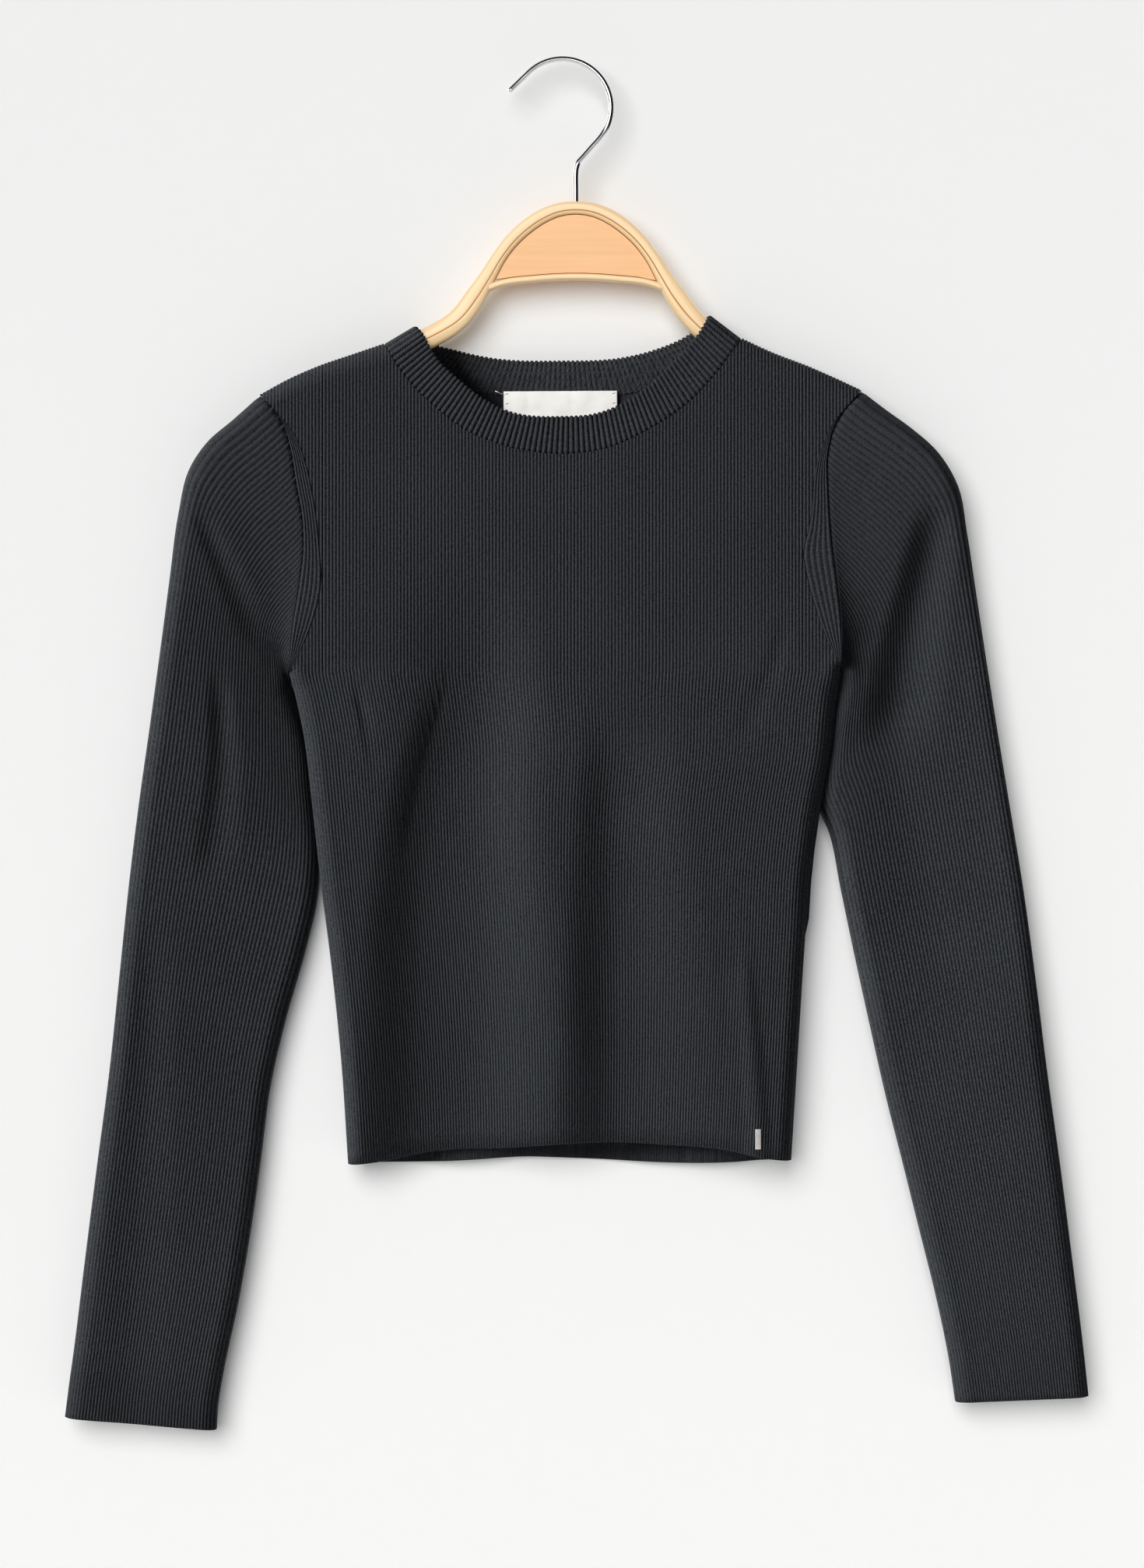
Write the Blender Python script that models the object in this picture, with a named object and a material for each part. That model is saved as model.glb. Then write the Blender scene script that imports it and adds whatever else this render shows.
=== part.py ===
"""A long-sleeved, cropped rib-knit sweater on a wooden hanger, at its real size.

Metres, +Z up, the front faces -Y and +X is the wearer's left. The origin is the inside of
the hook's crown, which is where a rail carries the hanger. The sweater is a closed wall of
cloth: a front and a back panel, two tubular sleeves and a ribbed collar, pressed nearly
flat, so that its outline is given in x and z and its depth follows from how far a point
lies from the nearest fold line.
"""

import math

import bmesh
import bpy
import numpy as np

MM = 0.001

# ------------------------------------------------------------------ driving dimensions

WALL = 1.6 * MM  # panels and sleeves
COLLAR_WALL = 2.0 * MM  # the collar is knitted double
GAP = 0.3 * MM  # between two pieces at a seam
NECK_GAP = 0.45 * MM  # the collar is thicker than the panels, so it starts a little higher
HALF_DEPTH = 8.5 * MM  # half the thickness of the pressed sweater, at the shoulders
HEM_HALF_DEPTH = 12.0 * MM
CUFF_HALF_DEPTH = 7.0 * MM
FOLD_REACH = 10.0 * MM  # how far the cloth's rounding reaches in from a fold line
COLLAR_RIB = 0.35 * MM  # height of a rib
RIB_PITCH = 1.7 * MM

HANGER_HALF_THICKNESS = 4.8 * MM
ARM_HALF_HEIGHT = 6.3 * MM
ARM_COVER = COLLAR_WALL + 1.3 * MM  # from the sweater's top line down to the arm
WIRE_RADIUS = 1.5 * MM
HANGER_X = 8.0 * MM  # the hanger's middle, beside the hook's crown

# ------------------------------------------------------------------ tables, millimetres

# Each side's armhole seam, from the shoulder tip to the underarm: height, x.
ARMHOLE = {
    "right": [(-193.1, -174.6), (-200.7, -166.5), (-211.1, -160.2), (-226.0, -155.8),
              (-241.7, -153.3), (-262.8, -149.6), (-281.2, -148.8), (-305.1, -151.6),
              (-327.6, -155.2), (-353.7, -157.3)],
    "left": [(-190.5, 173.2), (-200.7, 163.3), (-211.1, 157.0), (-226.3, 153.2),
             (-248.8, 153.3), (-274.9, 155.2), (-298.8, 158.2), (-317.7, 160.4),
             (-334.0, 161.2), (-351.5, 160.5)],
}

# Each side's fold, from the underarm to the hem: height, x.
SIDE = {
    "right": [(-353.7, -157.3), (-370.4, -153.0), (-387.5, -149.4), (-426.6, -144.5),
              (-477.5, -138.8), (-516.6, -133.7), (-576.5, -127.4), (-636.8, -123.3)],
    "left": [(-351.5, 160.5), (-367.2, 157.5), (-401.0, 153.8), (-428.9, 148.2),
             (-468.5, 142.7), (-504.5, 140.4), (-576.5, 135.9), (-634.5, 132.3)],
}

# Each side's shoulder line, from the collar to the tip: x, height.
SHOULDER = {
    "right": [(-103.0, -163.5), (-120.0, -169.3), (-140.4, -176.3), (-157.0, -183.5),
              (-174.6, -193.1)],
    "left": [(104.0, -160.5), (121.0, -168.3), (143.0, -176.8), (158.0, -183.4),
             (173.2, -190.5)],
}

# The collar's seam and its free edge, from the wearer's right to their left: x, height.
NECK_SEAM = {
    "front": [(-103.0, -163.5), (-94.5, -177.0), (-83.0, -191.0), (-70.0, -203.0),
              (-54.0, -214.5), (-33.0, -222.8), (-1.0, -227.5), (27.4, -223.7),
              (50.0, -213.5), (70.0, -200.5), (87.8, -182.7), (97.7, -169.5),
              (104.0, -160.5)],
    "back": [(-103.0, -163.5), (-90.0, -175.5), (-70.0, -184.5), (-45.0, -190.5),
             (0.0, -193.5), (45.0, -189.5), (70.0, -182.5), (90.5, -172.5),
             (104.0, -160.5)],
}
COLLAR_EDGE = {
    "front": [(-86.0, -153.5), (-81.8, -157.5), (-77.0, -166.0), (-72.9, -172.8),
              (-60.3, -185.0), (-47.2, -195.3), (-30.0, -204.0), (0.0, -206.8),
              (20.0, -205.0), (34.0, -199.8), (49.1, -190.0), (63.5, -176.6),
              (78.8, -159.5), (86.4, -147.2)],
    "back": [(-86.0, -153.5), (-79.0, -160.8), (-60.0, -167.5), (-41.4, -171.5),
             (0.0, -173.3), (34.6, -171.5), (55.0, -166.5), (74.7, -157.5),
             (86.4, -147.2)],
}

# The hem, from the wearer's right to their left: x, height.
HEM = {
    "front": [(-123.3, -636.8), (-106.7, -635.2), (-74.7, -629.6), (-32.4, -627.3),
              (0.0, -624.6), (26.1, -623.9), (55.8, -625.1), (95.0, -628.0),
              (116.0, -632.5), (132.3, -634.5)],
    "back": [(-123.3, -636.8), (-68.4, -635.9), (-18.4, -633.4), (15.8, -634.8),
             (72.0, -637.0), (132.3, -634.5)],
}

# Sections of each sleeve from the armhole to the cuff: the outer fold's x and height, the
# inner fold's x and height, and how far the inner fold lies behind the body's side.
SLEEVE = {
    "right": [(-174.6, -193.1, -157.3, -353.7, 0.0), (-190.5, -207.3, -157.2, -361.0, 4.0),
              (-205.0, -219.8, -153.8, -372.0, 6.5), (-215.5, -235.5, -149.0, -388.0, 7.4),
              (-221.8, -261.4, -145.5, -406.0, 7.4), (-226.6, -298.0, -143.2, -430.0, 7.6),
              (-231.8, -338.0, -140.6, -456.0, 7.6), (-237.8, -382.0, -141.4, -481.0, 7.4),
              (-244.3, -428.0, -148.6, -514.0, 6.6), (-250.3, -477.0, -160.0, -554.0, 5.8),
              (-255.8, -530.0, -168.9, -593.0, 5.0), (-261.5, -584.0, -174.2, -633.5, 4.2),
              (-268.6, -638.0, -180.0, -675.0, 3.4), (-275.5, -692.0, -187.2, -717.0, 2.8),
              (-281.9, -744.0, -195.8, -757.5, 2.2), (-285.0, -766.5, -199.2, -779.0, 2.0),
              (-287.1, -783.0, -199.8, -790.6, 2.0)],
    "left": [(173.2, -190.5, 160.5, -351.5, 0.0), (187.0, -201.0, 159.6, -358.5, 2.5),
             (202.5, -212.2, 157.4, -368.0, 5.0), (217.3, -225.5, 155.2, -381.0, 7.0),
             (229.0, -245.0, 153.4, -396.0, 7.4), (234.3, -272.5, 149.9, -413.0, 7.6),
             (238.9, -303.0, 148.2, -429.5, 7.6), (244.2, -338.5, 155.0, -446.0, 7.4),
             (251.0, -382.0, 161.6, -478.0, 6.8), (258.5, -428.0, 169.5, -516.0, 6.2),
             (266.5, -477.0, 178.3, -556.5, 5.4), (273.7, -530.0, 187.6, -598.0, 4.6),
             (280.4, -584.0, 197.2, -636.0, 3.8), (287.9, -638.0, 207.0, -675.5, 3.0),
             (294.8, -692.0, 216.6, -714.0, 2.4), (301.3, -744.0, 224.4, -752.0, 2.0),
             (304.2, -770.9, 227.7, -774.5, 2.0)],
}

# The largest folds: the face, three points of its line as x and height, how wide it is at its
# foot towards -X and towards +X, and how far it stands out at the top and at the foot. A
# trough has a minus sign.
FOLDS = [
    ("front", -60.0, -352.0, -86.0, -450.0, -88.0, -640.0, 20.0, 40.0, -1.4, -3.4),
    ("front", -44.0, -380.0, -54.0, -480.0, -56.0, -640.0, 46.0, 44.0, -0.6, -2.6),
    ("front", -26.0, -400.0, -10.0, -520.0, -6.0, -640.0, 44.0, 30.0, 1.0, 4.6),
    ("front", 44.0, -430.0, 47.0, -530.0, 48.0, -640.0, 40.0, 50.0, -0.6, -2.2),
    ("front", 103.0, -500.0, 110.0, -570.0, 114.0, -640.0, 12.0, 10.0, 0.6, 1.6),
    ("front", 214.0, -250.0, 192.0, -330.0, 178.0, -480.0, 26.0, 30.0, -3.6, -4.6),
    ("front", -212.0, -256.0, -192.0, -300.0, -170.0, -345.0, 16.0, 18.0, -2.0, -1.4),
    ("front", -200.0, -345.0, -198.0, -400.0, -204.0, -470.0, 14.0, 18.0, -1.6, -1.0),
    ("front", -240.0, -500.0, -248.0, -640.0, -258.0, -765.0, 10.0, 28.0, -1.0, -1.2),
    ("back", 84.0, -370.0, 96.0, -470.0, 98.0, -640.0, 40.0, 20.0, -1.4, -3.6),
    ("back", 30.0, -420.0, 22.0, -520.0, 18.0, -640.0, 30.0, 46.0, 0.8, 3.2),
    ("back", -52.0, -450.0, -50.0, -540.0, -48.0, -640.0, 46.0, 30.0, -0.8, -3.0),
    ("back", 210.0, -265.0, 196.0, -330.0, 188.0, -460.0, 26.0, 26.0, -2.8, -1.0),
    ("back", -200.0, -265.0, -184.0, -330.0, -176.0, -440.0, 24.0, 24.0, -2.6, -1.0),
]
FOLD_TOP_WIDTH = 0.45  # a fold's width at its top, as a share of its width at the foot
FOLD_FADE = 0.25  # the share of its length over which a fold rises from the flat cloth
OPEN_FOOT = -640.0 * MM  # a fold whose foot is here runs out through the hem

# The hanger's strip on one side of its middle: distance from the middle, height of its
# centre line, half its height.
HANGER_ARCH = [(0.0, -84.8, 3.7), (10.3, -86.0, 3.9), (19.2, -89.6, 4.1),
               (27.4, -94.9, 4.2), (36.6, -103.3, 4.1), (43.8, -112.6, 4.1),
               (50.6, -124.0, 4.8), (58.2, -136.4, 6.0), (66.8, -148.0, 6.3)]
CROSSBAR = [(-52.0, -131.6), (-44.0, -128.6), (-24.0, -125.8), (0.0, -124.6),
            (24.0, -125.8), (44.0, -128.6), (52.0, -131.6)]
CROSSBAR_HALF_HEIGHT = 1.9 * MM
SQUARENESS = 0.85  # of the strip's section: 1 is an ellipse, 0 a rectangle
ARM_SAMPLES = np.linspace(4, 150, 9)  # along the sweater's top line, where it covers the arm

# ------------------------------------------------------------------ how finely it is built

ROUND_STEPS = 3  # rows over a fold's rounding
BODY_ROWS = 9  # underarm to hem
ARMHOLE_ROWS = 8
NECK_COLUMNS = 12
SHOULDER_COLUMNS = 2
SLEEVE_RINGS = 20
INNER_RIBS = 4  # outer points of the collar to one inner point
CAP_SECTIONS = (7, 1)  # sections over which the armhole's curve fades, at the top and underarm
LINE_POINTS = 160  # of the fine polylines that stand for a table's smooth curve
TAB_GRID = (5, 4)  # columns and rows of a label
FRAME_STATIONS = 56
CROSSBAR_STATIONS = 13
STRIP_SIDES = 12
INLAY_ARCH_POINTS = 25
INLAY_FOOT_POINTS = 10
HOOK_POINTS = 30
HOLE_SIDES = 12
SHARP_ANGLE = 50  # degrees between two faces, above which their edge stays sharp

ROUND = FOLD_REACH * (1 - np.cos(np.linspace(0, math.pi / 2, ROUND_STEPS + 1)))
SIDES = {"right": -1, "left": 1}
FACES = {"front": -1, "back": 1}


# ------------------------------------------------------------------ curves


def table(rows):
    """A table's rows as an array, from millimetres to metres."""
    return np.array(rows, float) * MM


def unit(vectors):
    return vectors / np.maximum(np.linalg.norm(vectors, axis=-1, keepdims=True), 1e-12)


def smooth(at, knots, values):
    """The smooth curve through (knots, values), read at the places in `at`."""
    order = np.argsort(knots)
    knots, values = np.asarray(knots)[order], np.asarray(values)[order]
    slopes = np.gradient(values, knots)
    row = np.clip(np.searchsorted(knots, at) - 1, 0, len(knots) - 2)
    width = knots[row + 1] - knots[row]
    t = np.clip((at - knots[row]) / width, 0, 1)
    from_left = (1 + 2 * t) * values[row] + t * width * slopes[row]
    from_right = (3 - 2 * t) * values[row + 1] - (1 - t) * width * slopes[row + 1]
    return (1 - t) ** 2 * from_left + t**2 * from_right


def lengths(points):
    return np.concatenate([[0], np.linalg.norm(np.diff(points, axis=0), axis=1).cumsum()])


def follow(points, at):
    """Points of the polyline at the distances `at` from its start."""
    along = lengths(points)
    return np.stack([np.interp(at, along, column) for column in points.T], -1)


def smooth_line(rows, count=LINE_POINTS):
    """A fine polyline on the smooth curve through a table's (x, z) rows."""
    points = table(rows)
    along = lengths(points)
    at = np.linspace(0, along[-1], count)
    return np.stack([smooth(at, along, column) for column in points.T], -1)


def at_stations(points, row):
    """Places on the smooth curve through the points, at fractional point numbers."""
    along = lengths(points)
    at = smooth(row, np.arange(len(points)), along)
    return np.stack([smooth(at, along, column) for column in points.T], -1)


def below(along):
    """Unit vectors in x and z that are square to the vectors `along` and point down."""
    square = unit(np.stack([along[:, 1], -along[:, 0]], -1))
    return square * np.where(square[:, 1:] > 0, -1, 1)


# ------------------------------------------------------------------ the sweater's outline


def edge_x(side, height):
    """x of a body panel's edge: the armhole seam above the underarm, the side fold below."""
    seam_height, seam_x = table(ARMHOLE[side]).T
    fold_height, fold_x = table(SIDE[side]).T
    on_seam = smooth(height, seam_height, seam_x)
    on_fold = smooth(height, fold_height, fold_x)
    return np.where(height > fold_height[0], on_seam, on_fold)


def edge_heights(side):
    """Heights of the rows at a panel's edge, from the hem to the shoulder tip."""
    tip, underarm = ARMHOLE[side][0][0] * MM, ARMHOLE[side][-1][0] * MM
    hem = SIDE[side][-1][0] * MM
    body = np.linspace(hem, underarm, BODY_ROWS + 1)
    armhole = np.linspace(underarm + FOLD_REACH, tip - FOLD_REACH, ARMHOLE_ROWS + 1)
    return np.concatenate([body[:-1], underarm + ROUND[:-1], armhole, tip - ROUND[-2::-1]])


UNDERARM_ROW = BODY_ROWS
SHOULDER_ROW = BODY_ROWS + 2 * ROUND_STEPS + ARMHOLE_ROWS


def top_fold(side):
    """The fold from the collar's free edge over the shoulder and down the sleeve's outside."""
    collar = table([COLLAR_EDGE["front"][0 if side == "right" else -1], SHOULDER[side][0]])
    outer = [row[:2] for row in SLEEVE[side]]
    return np.concatenate([collar[:1], smooth_line(SHOULDER[side]), smooth_line(outer)[1:]])


def body_folds():
    folds = [top_fold(side) for side in SIDES]
    return folds + [smooth_line([row[::-1] for row in SIDE[side]]) for side in SIDES]


def sleeve_folds(side):
    return [top_fold(side), smooth_line([row[2:4] for row in SLEEVE[side]])]


# ------------------------------------------------------------------ the cloth's depth


def nearest(points, line):
    """The distance from each point to a line, and the vector to its nearest place."""
    start, step = line[:-1], np.diff(line, axis=0)
    offset = points[:, None] - start
    along = np.clip((offset * step).sum(-1) / (step**2).sum(-1), 0, 1)
    away = start + along[..., None] * step - points[:, None]
    distance = np.linalg.norm(away, axis=-1)
    best = (np.arange(len(points)), distance.argmin(1))
    return distance[best], away[best]


def nearest_fold(points, folds):
    flat = points.reshape(-1, 2)
    found = [nearest(flat, line) for line in folds]
    distance = np.stack([one[0] for one in found])
    away = np.stack([one[1] for one in found])
    best = (distance.argmin(0), np.arange(len(flat)))
    return distance[best].reshape(points.shape[:-1]), unit(away[best]).reshape(points.shape)


def fold_rise(points, face):
    """How far the large folds raise or sink one face of the cloth."""
    rise = np.zeros(points.shape[:-1])
    x, z = points[..., 0], points[..., 1]
    for row in FOLDS:
        if row[0] != face:
            continue
        x0, z0, x1, z1, x2, z2, west, east, top_rise, low_rise = table(row[1:])
        beside = x - smooth(z, [z0, z1, z2], [x0, x1, x2])
        down = np.clip((z0 - z) / (z0 - z2), 0, 1)
        width = np.where(beside < 0, west, east)
        width = width * (FOLD_TOP_WIDTH + (1 - FOLD_TOP_WIDTH) * down)
        across = np.clip(np.abs(beside) / width, 0, 1)
        up = 1 - down if z2 > OPEN_FOOT else 1
        fade = np.sin(np.clip(np.minimum(down, up) / FOLD_FADE, 0, 1) * math.pi / 2) ** 2
        height = top_rise + (low_rise - top_rise) * down
        rise += height * fade * np.cos(across * math.pi / 2) ** 2
    return rise


def drape(points, beside, folds, half_depth, face, wall=WALL, gap=GAP):
    """Outer points, inner points and outward normals of one face of the cloth.

    `points` is a grid of (x, z). `beside` is a like grid that holds, for a point on a fold
    line, the next point in from it, and is empty (NaN) elsewhere.
    """
    on_fold = ~np.isnan(beside[..., 0])
    probe = np.where(on_fold[..., None], (points + beside) / 2, points)
    distance, away = nearest_fold(probe, folds)
    roll = np.arccos(1 - np.clip(distance / FOLD_REACH, 0, 1))
    roll = np.where(on_fold, 0, roll)
    depth = (half_depth + fold_rise(points, face)) * np.sin(roll)
    depth = np.where(on_fold, gap / 2, depth)
    flat = half_depth * np.cos(roll)
    out = FACES[face] * FOLD_REACH * np.sin(roll)
    normal = unit(np.stack([away[..., 0] * flat, out, away[..., 1] * flat], -1))
    outer = np.stack([points[..., 0], FACES[face] * depth, points[..., 1]], -1)
    return outer, outer - normal * wall, normal


def body_half_depth(points):
    underarm, hem = SIDE["right"][0][0] * MM, SIDE["right"][-1][0] * MM
    down = np.clip((underarm - points[..., 1]) / (underarm - hem), 0, 1)
    return HALF_DEPTH + (HEM_HALF_DEPTH - HALF_DEPTH) * down


def sleeve_half_depth(points):
    underarm, cuff = SIDE["right"][0][0] * MM, SLEEVE["right"][-1][1] * MM
    down = np.clip((underarm - points[..., 1]) / (underarm - cuff), 0, 1)
    return HALF_DEPTH + (CUFF_HALF_DEPTH - HALF_DEPTH) * down


def no_folds(points):
    return np.full(points.shape, np.nan)


# ------------------------------------------------------------------ meshes


def material(name, colour, roughness, metallic=0.0):
    made = bpy.data.materials.new(name)
    made.use_nodes = True
    shader = made.node_tree.nodes["Principled BSDF"]
    shader.inputs["Base Color"].default_value = (*colour, 1)
    shader.inputs["Roughness"].default_value = roughness
    shader.inputs["Metallic"].default_value = metallic
    made.diffuse_color = (*colour, 1)
    return made


def add_mesh(name, points, faces, look):
    """An object from points and faces, with its faces turned outwards."""
    mesh = bpy.data.meshes.new(name)
    mesh.from_pydata(np.asarray(points).tolist(), [], faces)
    shape = bmesh.new()
    shape.from_mesh(mesh)
    bmesh.ops.recalc_face_normals(shape, faces=shape.faces)
    if shape.calc_volume(signed=True) < 0:
        bmesh.ops.reverse_faces(shape, faces=shape.faces)
    shape.to_mesh(mesh)
    shape.free()
    mesh.shade_smooth()
    mesh.set_sharp_from_angle(angle=math.radians(SHARP_ANGLE))
    mesh.materials.append(look)
    made = bpy.data.objects.new(name, mesh)
    bpy.context.scene.collection.objects.link(made)
    return made


def grid_faces(index, wrap):
    """Quads over a grid of point numbers, joined round from last column to first by `wrap`."""
    if wrap:
        index = np.concatenate([index, index[:, :1]], 1)
    corners = [index[:-1, :-1], index[:-1, 1:], index[1:, 1:], index[1:, :-1]]
    return np.stack(corners, -1).reshape(-1, 4).tolist()


def cloth_wall(name, outer, inner, look, wrap=False):
    """A closed wall between an outer and an inner grid of the same size."""
    rows, columns = outer.shape[:2]
    first = np.arange(rows * columns).reshape(rows, columns)
    second = first + rows * columns
    faces = grid_faces(first, wrap) + [face[::-1] for face in grid_faces(second, wrap)]
    for row in (0, -1):
        faces += grid_faces(np.stack([first[row], second[row]]), wrap)
    if not wrap:
        for column in (0, -1):
            faces += grid_faces(np.stack([first[:, column], second[:, column]]), False)
    points = np.concatenate([outer.reshape(-1, 3), inner.reshape(-1, 3)])
    return add_mesh(name, points, faces, look)


# ------------------------------------------------------------------ front and back panels


def neck_points(face):
    """The panel's neck edge, finer where it turns over the shoulder."""
    line = smooth_line(NECK_SEAM[face])
    length = lengths(line)[-1]
    middle = np.linspace(FOLD_REACH, length - FOLD_REACH, NECK_COLUMNS + 1)
    return follow(line, np.concatenate([ROUND[:-1], middle, length - ROUND[-2::-1]]))


def top_edge(face):
    """The panel's upper edge between the two columns where the side rounding ends."""
    parts = []
    for side, order in (("right", 1), ("left", -1)):
        line = smooth_line(SHOULDER[side])[::-1]
        start = line[0, 0] - SIDES[side] * FOLD_REACH
        x = np.linspace(start, line[-1, 0], SHOULDER_COLUMNS + 1)[:-1]
        z = smooth(x, line[:, 0], line[:, 1])
        parts.append(np.stack([x, z], -1)[::order])
    return np.concatenate([parts[0], neck_points(face), parts[1]])


def panel_points(face):
    """The panel's grid of (x, z): rows from the hem up, columns from the wearer's right."""
    heights = {side: edge_heights(side) for side in SIDES}
    edges = {side: edge_x(side, heights[side]) - SIDES[side] * GAP / 2 for side in SIDES}
    inset = {side: edges[side] - SIDES[side] * FOLD_REACH for side in SIDES}
    top = top_edge(face)
    span = inset["left"] - inset["right"]
    top_share = (top[:, 0] - inset["right"][-1]) / span[-1]
    even_share = np.linspace(0, 1, len(top))
    top_weight = np.clip((np.arange(SHOULDER_ROW + 1) - UNDERARM_ROW - ROUND_STEPS)
                         / ARMHOLE_ROWS, 0, 1)[:, None]
    share = even_share + (top_share - even_share) * top_weight
    middle = inset["right"][:, None] + span[:, None] * share
    x = np.concatenate([edges["right"][:, None] + ROUND[:-1], middle,
                        edges["left"][:, None] - ROUND[-2::-1]], 1)
    across = (x - x[:, :1]) / (x[:, -1:] - x[:, :1])
    z = heights["right"][:, None] * (1 - across) + heights["left"][:, None] * across
    top_x, top_z = top_line(face, top)
    z += (smooth(x[-1], top_x, top_z) - z[-1]) * top_weight
    hem_x, hem_z = table(HEM[face]).T
    hem_weight = np.clip(1 - np.arange(SHOULDER_ROW + 1) / UNDERARM_ROW, 0, 1)[:, None]
    z += (smooth(x[0], hem_x, hem_z) - z[0]) * hem_weight
    return np.stack([x, z], -1)


def top_line(face, top):
    """The whole upper edge as x and z, its columns at the tips included."""
    ends = {side: smooth_line(SHOULDER[side])[-1] for side in SIDES}
    extra = {}
    for side in SIDES:
        line = smooth_line(SHOULDER[side])
        x = line[-1, 0] - SIDES[side] * ROUND[1:-1]
        order = np.argsort(line[:, 0])
        z = np.interp(x, line[order, 0], line[order, 1])
        extra[side] = np.stack([x, z], -1)
    points = np.concatenate([ends["right"][None], extra["right"], top,
                             extra["left"][::-1], ends["left"][None]])
    return points.T


def panel_beside(points, face):
    """For each point on the side folds and shoulder lines, the next point in."""
    beside = no_folds(points)
    beside[:UNDERARM_ROW, 0] = points[:UNDERARM_ROW, 1]
    beside[:UNDERARM_ROW, -1] = points[:UNDERARM_ROW, -2]
    for column in (0, -1):
        beside[UNDERARM_ROW, column] = points[UNDERARM_ROW + 1, column]
    shoulder = ROUND_STEPS + SHOULDER_COLUMNS + 1
    beside[-1, :shoulder] = points[-2, :shoulder]
    beside[-1, -shoulder:] = points[-2, -shoulder:]
    return beside


def panel(face, look):
    points = panel_points(face)
    beside = panel_beside(points, face)
    outer, inner, _ = drape(points, beside, body_folds(), body_half_depth(points), face)
    return cloth_wall(face, outer, inner, look)


# ------------------------------------------------------------------ sleeves


def sleeve_points(side):
    """One face of a sleeve as a grid of (x, z): rings from the armhole, outer fold first."""
    stations = table(SLEEVE[side])
    row = np.linspace(0, len(stations) - 1, SLEEVE_RINGS + 1)
    outer, inner = at_stations(stations[:, :2], row), at_stations(stations[:, 2:4], row)
    behind = smooth(row, np.arange(len(stations)), stations[:, 4])
    seam_z = edge_heights(side)[UNDERARM_ROW:][::-1]
    seam_x = edge_x(side, seam_z) + SIDES[side] * GAP / 2
    seam = np.stack([seam_x, seam_z], -1)
    chord = np.linalg.norm(inner - outer, axis=1)[:, None]
    middle = np.linspace(0, 1, ARMHOLE_ROWS + 1)[None]
    middle = (FOLD_REACH + (chord - 2 * FOLD_REACH) * middle) / chord
    share = np.concatenate([ROUND[:-1] / chord, middle, 1 - ROUND[-2::-1] / chord], 1)
    straight = outer[:, None] + (inner - outer)[:, None] * share[..., None]
    reach = CAP_SECTIONS[0] + (CAP_SECTIONS[1] - CAP_SECTIONS[0]) * share
    cap = np.cos(np.clip(row[:, None] / reach, 0, 1) * math.pi / 2) ** 2
    points = straight + (seam - straight[0]) * cap[..., None]
    set_back = behind[:, None] * share**2 * (3 - 2 * share)
    return points, set_back


def sleeve(side, look):
    points, set_back = sleeve_points(side)
    beside = no_folds(points)
    beside[:, 0] = points[:, 1]
    beside[:, -1] = points[:, -2]
    faces = []
    for face in FACES:
        depth = sleeve_half_depth(points)
        made = drape(points, beside, sleeve_folds(side), depth, face, gap=0)
        faces.append([grid + set_back[..., None] * (0, 1, 0) for grid in made[:2]])
    rings = [np.concatenate([front, back[:, -2:0:-1]], 1) for front, back in zip(*faces)]
    return cloth_wall(f"sleeve_{side}", *rings, look, wrap=True)


# ------------------------------------------------------------------ collar


def band_points(face, ribs):
    """One face of the collar as a grid of (x, z): seam row, middle row, free edge row."""
    share = np.linspace(0, 1, 2 * ribs + 1)[:, None]
    seam = neck_points(face)
    edge = smooth_line(COLLAR_EDGE[face])
    low = follow(seam, share[:, 0] * lengths(seam)[-1])
    high = follow(edge, share[:, 0] * lengths(edge)[-1])
    low = low + unit(high - low) * NECK_GAP
    return np.stack([low, (low + high) / 2, high])


def rib_count(face):
    mean = (lengths(neck_points(face))[-1] + lengths(smooth_line(COLLAR_EDGE[face]))[-1]) / 2
    return 2 * round(mean / RIB_PITCH / 2)


def collar_faces(columns):
    """Faces of a ring with three rows of outer points and three coarser rows of inner ones."""
    outer = np.arange(3 * columns).reshape(3, columns)
    inner = 3 * columns + np.arange(3 * columns // INNER_RIBS).reshape(3, -1)
    faces = grid_faces(outer, True) + [face[::-1] for face in grid_faces(inner, True)]
    for row in (0, 2):
        for step in range(columns // INNER_RIBS):
            fan = [outer[row, (step * INNER_RIBS + i) % columns] for i in range(INNER_RIBS + 1)]
            start, end = inner[row, step], inner[row, (step + 1) % inner.shape[1]]
            half = INNER_RIBS // 2
            rim = [[fan[i], fan[i + 1], start if i < half else end] for i in range(INNER_RIBS)]
            rim.append([fan[half], end, start])
            faces += rim if row == 2 else [face[::-1] for face in rim]
    return [[int(corner) for corner in face] for face in faces]


def collar(look):
    grids = []
    for face in FACES:
        points = band_points(face, rib_count(face))
        beside = no_folds(points)
        beside[:, 0] = points[:, INNER_RIBS]
        beside[:, -1] = points[:, -1 - INNER_RIBS]
        depth = np.full(points.shape[:-1], HALF_DEPTH)
        outer, inner, normal = drape(points, beside, body_folds(), depth, face, COLLAR_WALL, 0)
        outer[:, 1::2] += normal[:, 1::2] * COLLAR_RIB
        grids.append([outer, inner])
    outer, inner = [np.concatenate([front, back[:, -2:0:-1]], 1) for front, back in zip(*grids)]
    points = np.concatenate([outer.reshape(-1, 3), inner[:, ::INNER_RIBS].reshape(-1, 3)])
    return add_mesh("collar", points, collar_faces(outer.shape[1]), look)


# ------------------------------------------------------------------ labels

NECK_LABEL = ((-33.8, 32.4), (-205.0, -190.8))  # millimetres: range of x, range of height
SIZE_TAB = ((-9.5, 6.8), (-217.0, -205.4))
HEM_TAB = ((111.2, 114.4), (-627.5, -616.0))
NECK_LABEL_THICKNESS = 0.6 * MM
HEM_TAB_THICKNESS = 0.5 * MM


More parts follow.
